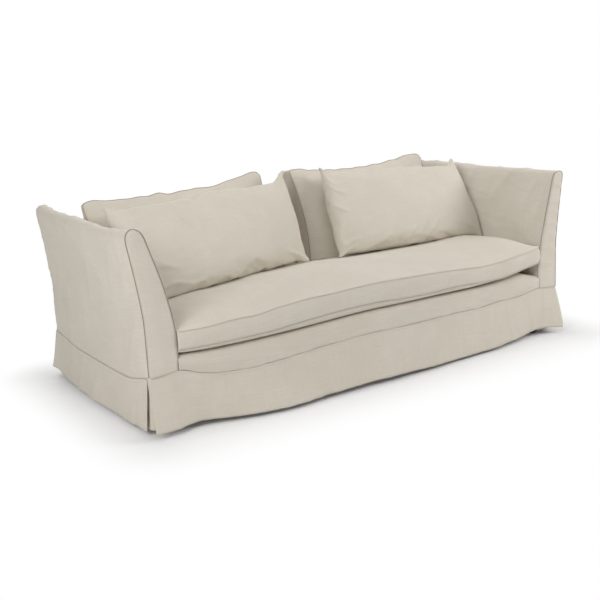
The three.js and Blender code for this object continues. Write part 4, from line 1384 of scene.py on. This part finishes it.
upper_rim, lower_rim = rim_of(seat_top), rim_of(seat_bottom)
outward = plan_outward(upper_rim)
bulge = np.full((len(upper_rim), 1), seat_boxing_bulge)
bulge[np.abs(upper_rim[:, 0]) > seat_side_half - 0.002] = 0.0
strip = boxing(upper_rim, lower_rim, bulge, outward)
wave = ripple(strip[..., ::2] * (0.6, 1.5), seat_boxing_wave_length, 83)[..., None]
strip = strip + outward * seat_boxing_wave * wave * np.sin(math.pi * boxing_shares)
strip = np.concatenate([strip, strip[:, :1]], axis=1)
cushion = Sewing()
cushion.patch(seat_top)
cushion.patch(seat_bottom)
cushion.patch(strip)
seat_form = form_of(cushion, "seat_cushion_form")
for rim in (upper_rim, lower_rim):
    cushion.cord(rim + outward * cord_stand_off, seat_piping, closed=True, mark=0)
seat_cushion = cushion.make("seat_cushion_linen", linen)
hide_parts("seat_cushion")
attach(seat_cushion, "seat_cushion")


# Back cushions: tall feather cushions, boxed and piped, that lean on the inside back and press
# onto the seat. Their top lines sag and ride up towards the middle of the sofa.
cushion_foot = 0.398
cushion_rear_gap = 0.0015
cushion_seam_depth = 0.172
cushion_top_depth = 0.146
cushion_crown = 0.030
cushion_piping = 0.0016
cushion_height = 0.45
cushion_slope = 0.30
cushion_boxing_bulge = 0.008
cushion_columns = 84
cushion_rows = 46
cushion_side_draws = {"left": 0.008, "right": 0.030, "outer": 0.012}
cushion_corner = 0.038
corner_cut = 0.29
cushion_swell = 0.003
cushion_swell_length = 0.2
cushion_crease = 0.002
cushion_crease_length = 0.12
cushion_top_wave = 0.003
cushion_top_wave_length = 0.09
cushion_middle_height = 0.62
cushion_clearance = 0.0008
cord_clearance = 0.002
above_sofa = 1.5
cushion_spread = 0.042
cushion_ear = 0.35
cushion_rear_inset = {"left": 0.014, "right": 0.030}
left_top_pairs = (
    (-1.035, 0.820), (-0.95, 0.815), (-0.88, 0.810), (-0.76, 0.811), (-0.70, 0.813), (-0.66, 0.817),
    (-0.62, 0.812), (-0.52, 0.818), (-0.48, 0.823), (-0.44, 0.818), (-0.36, 0.827), (-0.28, 0.842),
    (-0.17, 0.864), (-0.108, 0.868),
)
right_top_pairs = (
    (0.046, 0.866), (0.20, 0.845), (0.40, 0.835), (0.60, 0.842), (0.74, 0.858), (0.85, 0.874),
    (0.91, 0.868),
)
back_cushions = {
    "left": (-0.990, -0.116, left_top_pairs, 90),
    "right": (0.046, 0.908, right_top_pairs, 95),
}


def lift_onto(points, form, margin):
    """Raises points that lie inside the piece below onto its upper face."""
    raised = points.reshape(-1, 3).copy()
    for index, point in enumerate(raised):
        hit = form.ray_cast(Vector((point[0], point[1], above_sofa)), Vector((0, 0, -1)))[0]
        if hit is not None and point[2] < hit.z + margin:
            raised[index, 2] = hit.z + margin
    return raised.reshape(points.shape)


cushion_forms = {}
for side_name, (low_x, high_x, top_pairs, seed) in back_cushions.items():
    top_line = smooth_line(top_pairs)
    s = seam_shares(cushion_columns, high_x - low_x)[None, :]
    t = seam_shares(cushion_rows, cushion_height)[:, None]
    corner = (np.abs(s) ** 30) * (np.abs(t) ** 15)
    plan_x = (low_x + high_x) / 2 + (high_x - low_x) / 2 * s
    side_draw = np.where(s < 0, cushion_side_draws[side_name], cushion_side_draws["outer"])
    draw = side_draw * (1 - t ** 2) * np.sign(s) * s ** 4
    plan_x = plan_x - draw - np.sign(s) * corner_cut * cushion_corner * corner
    up = (1 - t) / 2
    if side_name == "left":
        plan_x = plan_x - cushion_spread * up * np.clip(-s, 0, 1) ** 3
    top_wave = ripple(plan_x[..., None], cushion_top_wave_length, seed)
    top = top_line(plan_x) + cushion_top_wave * top_wave
    height = cushion_foot + (top - cushion_foot) * up
    height = height - np.sign(-t) * corner_cut * cushion_corner * corner
    depth = cushion_seam_depth + (cushion_top_depth - cushion_seam_depth) * up
    seam_y = inside_back_y(height) - depth
    full = np.clip(1 - s ** 4, 0, None) ** 0.8 * np.clip(1 - t ** 4, 0, None) ** 0.8
    front = np.stack([plan_x, seam_y - cushion_crown * full, height], axis=-1)
    swell = ripple(front[..., ::2], cushion_swell_length, seed + 1)
    creases = crease(ripple(front[..., ::2], cushion_crease_length, seed + 2), 0.4)
    front[..., 1] -= full ** 0.5 * (cushion_swell * swell + cushion_crease * creases)
    front[..., 1] += seam_sink * seam_dip(s, t, high_x - low_x, cushion_height)
    slope = cushion_slope * (1 - cushion_ear * np.clip(-s, 0, 1) ** 6)
    rear_height = height - slope * depth
    rear_x = np.clip(plan_x, low_x + cushion_rear_inset[side_name], high_x)
    rear_y = inside_back_y(rear_height) - cushion_rear_gap
    rear = np.stack([rear_x, rear_y, rear_height], axis=-1)
    rim_front, rim_rear = rim_of(front), rim_of(rear)
    centre = np.array([(low_x + high_x) / 2, 0, cushion_middle_height])
    out = rim_front - centre
    out[:, 1] = 0
    out /= np.linalg.norm(out, axis=1, keepdims=True)
    strip = boxing(rim_front, rim_rear, cushion_boxing_bulge, out)
    strip = np.concatenate([strip, strip[:, :1]], axis=1)
    cushion = Sewing()
    for part in (front, rear, strip):
        cushion.patch(lift_onto(part, seat_form, cushion_clearance))
    cushion_forms[side_name] = form_of(cushion, "cushion_form")
    for rim in (rim_front, rim_rear):
        line = lift_onto(rim, seat_form, cord_clearance)
        cushion.cord(line + out * cord_stand_off, cushion_piping, closed=True)
    back_cushion = cushion.make(f"back_cushion_linen_{side_name}", linen, shaded_linen)
    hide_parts(f"back_cushion_{side_name}")
    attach(back_cushion, f"back_cushion_{side_name}")


# Pillows: two long feather pillows, each two pieces of linen sewn edge to edge, without piping.
# They lean on the back cushions. The filling swells the middle and draws the edges in, so the
# corners stand out as small ears with puckers beside them.
pillow_columns = 110
pillow_rows = 62
pillow_front = 0.080
pillow_rear = 0.096
pillow_belly = 0.3
pillow_slump = 0.25
pillow_corner = 0.078
pillow_slack = 1.07
pillow_start_puff = 0.030
pillow_pressure = 1.5
pillow_frames = 30
pillow_tension = 40.0
pillow_bending = 0.3
pillow_mass = 0.3
pillow_air_damping = 2.0
pillow_quality = 6
pillow_uneven = 0.1
pillow_uneven_length = 0.16
pillow_seam_waves = 8
low_seam_waves = 16
pillow_rounding = 0.012
pillow_fullness = 0.8
pillow_evenness = 0.3
pillow_pucker_width = 0.010
pillow_pucker_height = 0.0065
pillow_pucker_full = 0.03
pillow_clearance = 0.0012
before_sofa = -1.5
pillows = {
    "left": {
        "seed": 110,
        "corners": (
            (-0.947, -0.193, 0.438), (-0.004, 0.033, 0.440),
            (-0.985, 0.163, 0.800), (-0.032, 0.190, 0.880),
        ),
        "draw": {"top": (0.030, 0.064), "bottom": (0.0, 0.026), "left": 0.0, "right": 0.024},
        "ear": 0.22,
        "puckers": (
            (0.04, 0.44, 0.17, 0.27), (0.03, 0.36, 0.20, 0.25), (0.02, 0.10, 0.18, 0.12),
            (0.10, 0.14, 0.24, 0.07), (0.17, 0.04, 0.30, 0.09), (0.31, 0.80, 0.36, 0.58),
            (0.84, 0.13, 0.97, 0.05),
        ),
    },
    "right": {
        "seed": 115,
        "corners": (
            (0.118, -0.021, 0.444), (0.998, -0.110, 0.443),
            (0.160, 0.195, 0.873), (1.043, 0.177, 0.848),
        ),
        "draw": {"top": (0.042, 0.050), "bottom": (0.020, 0.024), "left": 0.014, "right": 0.0},
        "ear": 0.13,
        "puckers": (
            (0.0, 0.79, 0.11, 0.69), (0.0, 0.56, 0.10, 0.47), (0.0, 0.05, 0.12, 0.18),
            (0.01, 0.02, 0.11, 0.08), (0.0, 0.20, 0.05, 0.07), (0.60, 0.33, 0.49, 0.06),
            (0.67, 0.28, 0.56, 0.06), (0.41, 0.05, 0.50, 0.22), (0.83, 0.20, 0.96, 0.06),
            (0.0, 0.88, 0.07, 0.78), (0.25, 0.05, 0.32, 0.18),
        ),
    },
}


def inflate(piece):
    """Lets a filling swell sewn cloth: a cloth simulation under inner pressure, without weight."""
    filling = piece.modifiers.new("filling", "CLOTH")
    cloth = filling.settings
    cloth.quality = pillow_quality
    cloth.mass = pillow_mass
    cloth.air_damping = pillow_air_damping
    cloth.tension_stiffness = pillow_tension
    cloth.compression_stiffness = pillow_tension
    cloth.shear_stiffness = pillow_tension / 3
    cloth.bending_stiffness = pillow_bending
    cloth.use_pressure = True
    cloth.uniform_pressure_force = pillow_pressure
    cloth.effector_weights.gravity = 0.0
    filling.point_cache.frame_start = 1
    filling.point_cache.frame_end = pillow_frames
    for moment in range(1, pillow_frames + 1):
        bpy.context.scene.frame_set(moment)
    swollen = piece.evaluated_get(bpy.context.evaluated_depsgraph_get()).to_mesh()
    places = np.zeros(len(swollen.vertices) * 3)
    swollen.vertices.foreach_get("co", places)
    piece.modifiers.remove(filling)
    piece.data.vertices.foreach_set("co", places)
    bpy.context.scene.frame_set(1)
    return places.reshape(-1, 3)


def edge_of(along, across, chosen, waves):
    """A smooth line through one swollen seam: its place across, by the share along it."""
    line = np.polynomial.Chebyshev.fit(along[chosen], across[chosen], waves)
    return line(np.clip(along, along[chosen].min(), along[chosen].max()))


for side_name, pillow in pillows.items():
    draw = pillow["draw"]
    bottom_left, bottom_right, top_left, top_right = [
        np.array(corner) + (0, depth_middle, 0) for corner in pillow["corners"]
    ]
    across = (bottom_right - bottom_left + top_right - top_left) / 2
    upward = (top_left - bottom_left + top_right - bottom_right) / 2
    forward = np.cross(across, upward)
    forward /= np.linalg.norm(forward)
    sideways, uphill = [way / np.linalg.norm(way) for way in (across, upward)]
    half_wide = np.linalg.norm(across) / 2 * pillow_slack
    half_high = np.linalg.norm(upward) / 2 * pillow_slack
    s = np.linspace(-1, 1, pillow_columns)[None, :]
    t = np.linspace(-1, 1, pillow_rows)[:, None]
    corner = (np.abs(s) * np.abs(t)) ** 10 * corner_cut * pillow_corner
    cut_x = s * half_wide - np.sign(s) * corner
    cut_y = t * half_high - np.sign(t) * corner
    puff = np.sqrt(np.clip((1 - s ** 2) * (1 - t ** 2), 0, None))
    cut = np.stack([cut_x, cut_y], axis=-1)
    uneven = 1 + pillow_uneven * ripple(cut, pillow_uneven_length, pillow["seed"])
    sewn = Sewing()
    for face in (1, -1):
        sewn.patch(np.stack([cut_x, cut_y, face * pillow_start_puff * puff * uneven], axis=-1), cut)
    lumbar = sewn.make(f"pillow_linen_{side_name}", linen)
    places = np.zeros(len(lumbar.data.vertices) * 3)
    lumbar.data.vertices.foreach_get("co", places)
    places = places.reshape(-1, 3)
    share_s, share_t = places[:, 0] / half_wide, places[:, 1] / half_high
    to_side, to_end = (1 - np.abs(share_s)) * half_wide, (1 - np.abs(share_t)) * half_high
    sewn_edge = np.abs(places[:, 2]) < 1e-6
    at_side, at_end = sewn_edge & (to_side < to_end + 1e-5), sewn_edge & (to_end < to_side + 1e-5)
    places = inflate(lumbar)
    left_seam = edge_of(share_t, places[:, 0], at_side & (share_s < 0), pillow_seam_waves)
    right_seam = edge_of(share_t, places[:, 0], at_side & (share_s > 0), pillow_seam_waves)
    low_seam = edge_of(share_s, places[:, 1], at_end & (share_t < 0), low_seam_waves)
    high_seam = edge_of(share_s, places[:, 1], at_end & (share_t > 0), pillow_seam_waves)
    u = ((places[:, 0] - left_seam) / (right_seam - left_seam))[:, None]
    v = ((places[:, 1] - low_seam) / (high_seam - low_seam))[:, None]
    from_ears = [np.clip((1 - np.abs(2 * share - 1)) / pillow["ear"], 0, 1) for share in (u, v)]
    flat_u, flat_v = [eased(share) for share in from_ears]
    low = bottom_left + (bottom_right - bottom_left) * u
    high = top_left + (top_right - top_left) * u
    placed = low + (high - low) * v
    top_draw = draw["top"][0] + (draw["top"][1] - draw["top"][0]) * u
    bottom_draw = draw["bottom"][0] + (draw["bottom"][1] - draw["bottom"][0]) * u
    placed += uphill * flat_u * (bottom_draw * (1 - v) - top_draw * v)
    placed += sideways * flat_v * (draw["left"] * (1 - u) - draw["right"] * u)
    rounded = pillow_rounding * (np.abs(2 * u - 1) * np.abs(2 * v - 1)) ** 20
    placed -= rounded * (sideways * np.sign(2 * u - 1) + uphill * np.sign(2 * v - 1))
    thick = places[:, 2:] / np.abs(places[:, 2]).max()
    even = np.sqrt(np.clip((1 - (2 * u - 1) ** 4) * (1 - (2 * v - 1) ** 4), 0, None))
    swollen = np.abs(thick) ** pillow_fullness
    thick = np.sign(thick) * (swollen + (even - swollen) * pillow_evenness)
    belly = 1 + pillow_belly * (0.5 - v)
    thick = np.where(thick > 0, thick * pillow_front * belly, thick * pillow_rear)
    placed += forward * thick
    wide, tall = np.linalg.norm(across), np.linalg.norm(upward)
    for u_start, v_start, u_end, v_end in pillow["puckers"]:
        start, end = (u_start * wide, v_start * tall), (u_end * wide, v_end * tall)
        pucker = fold(u * wide, v * tall, start, end, pillow_pucker_width, pillow_pucker_height)
        placed += forward * pucker * np.clip(thick / pillow_pucker_full, 0, 1)
    placed[:, 2:] -= pillow_slump * np.clip(thick, 0, None) * (1 - v)
    placed = lift_onto(placed, seat_form, pillow_clearance)
    for index, point in enumerate(placed):
        start = Vector((point[0], before_sofa, point[2]))
        hit = cushion_forms[side_name].ray_cast(start, Vector((0, 1, 0)))[0]
        if hit is not None and point[1] > hit.y - pillow_clearance:
            placed[index, 1] = hit.y - pillow_clearance
    lumbar.data.vertices.foreach_set("co", placed.ravel())
    lumbar.data.update()
    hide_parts(f"pillow_{side_name}")
    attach(lumbar, f"pillow_{side_name}")
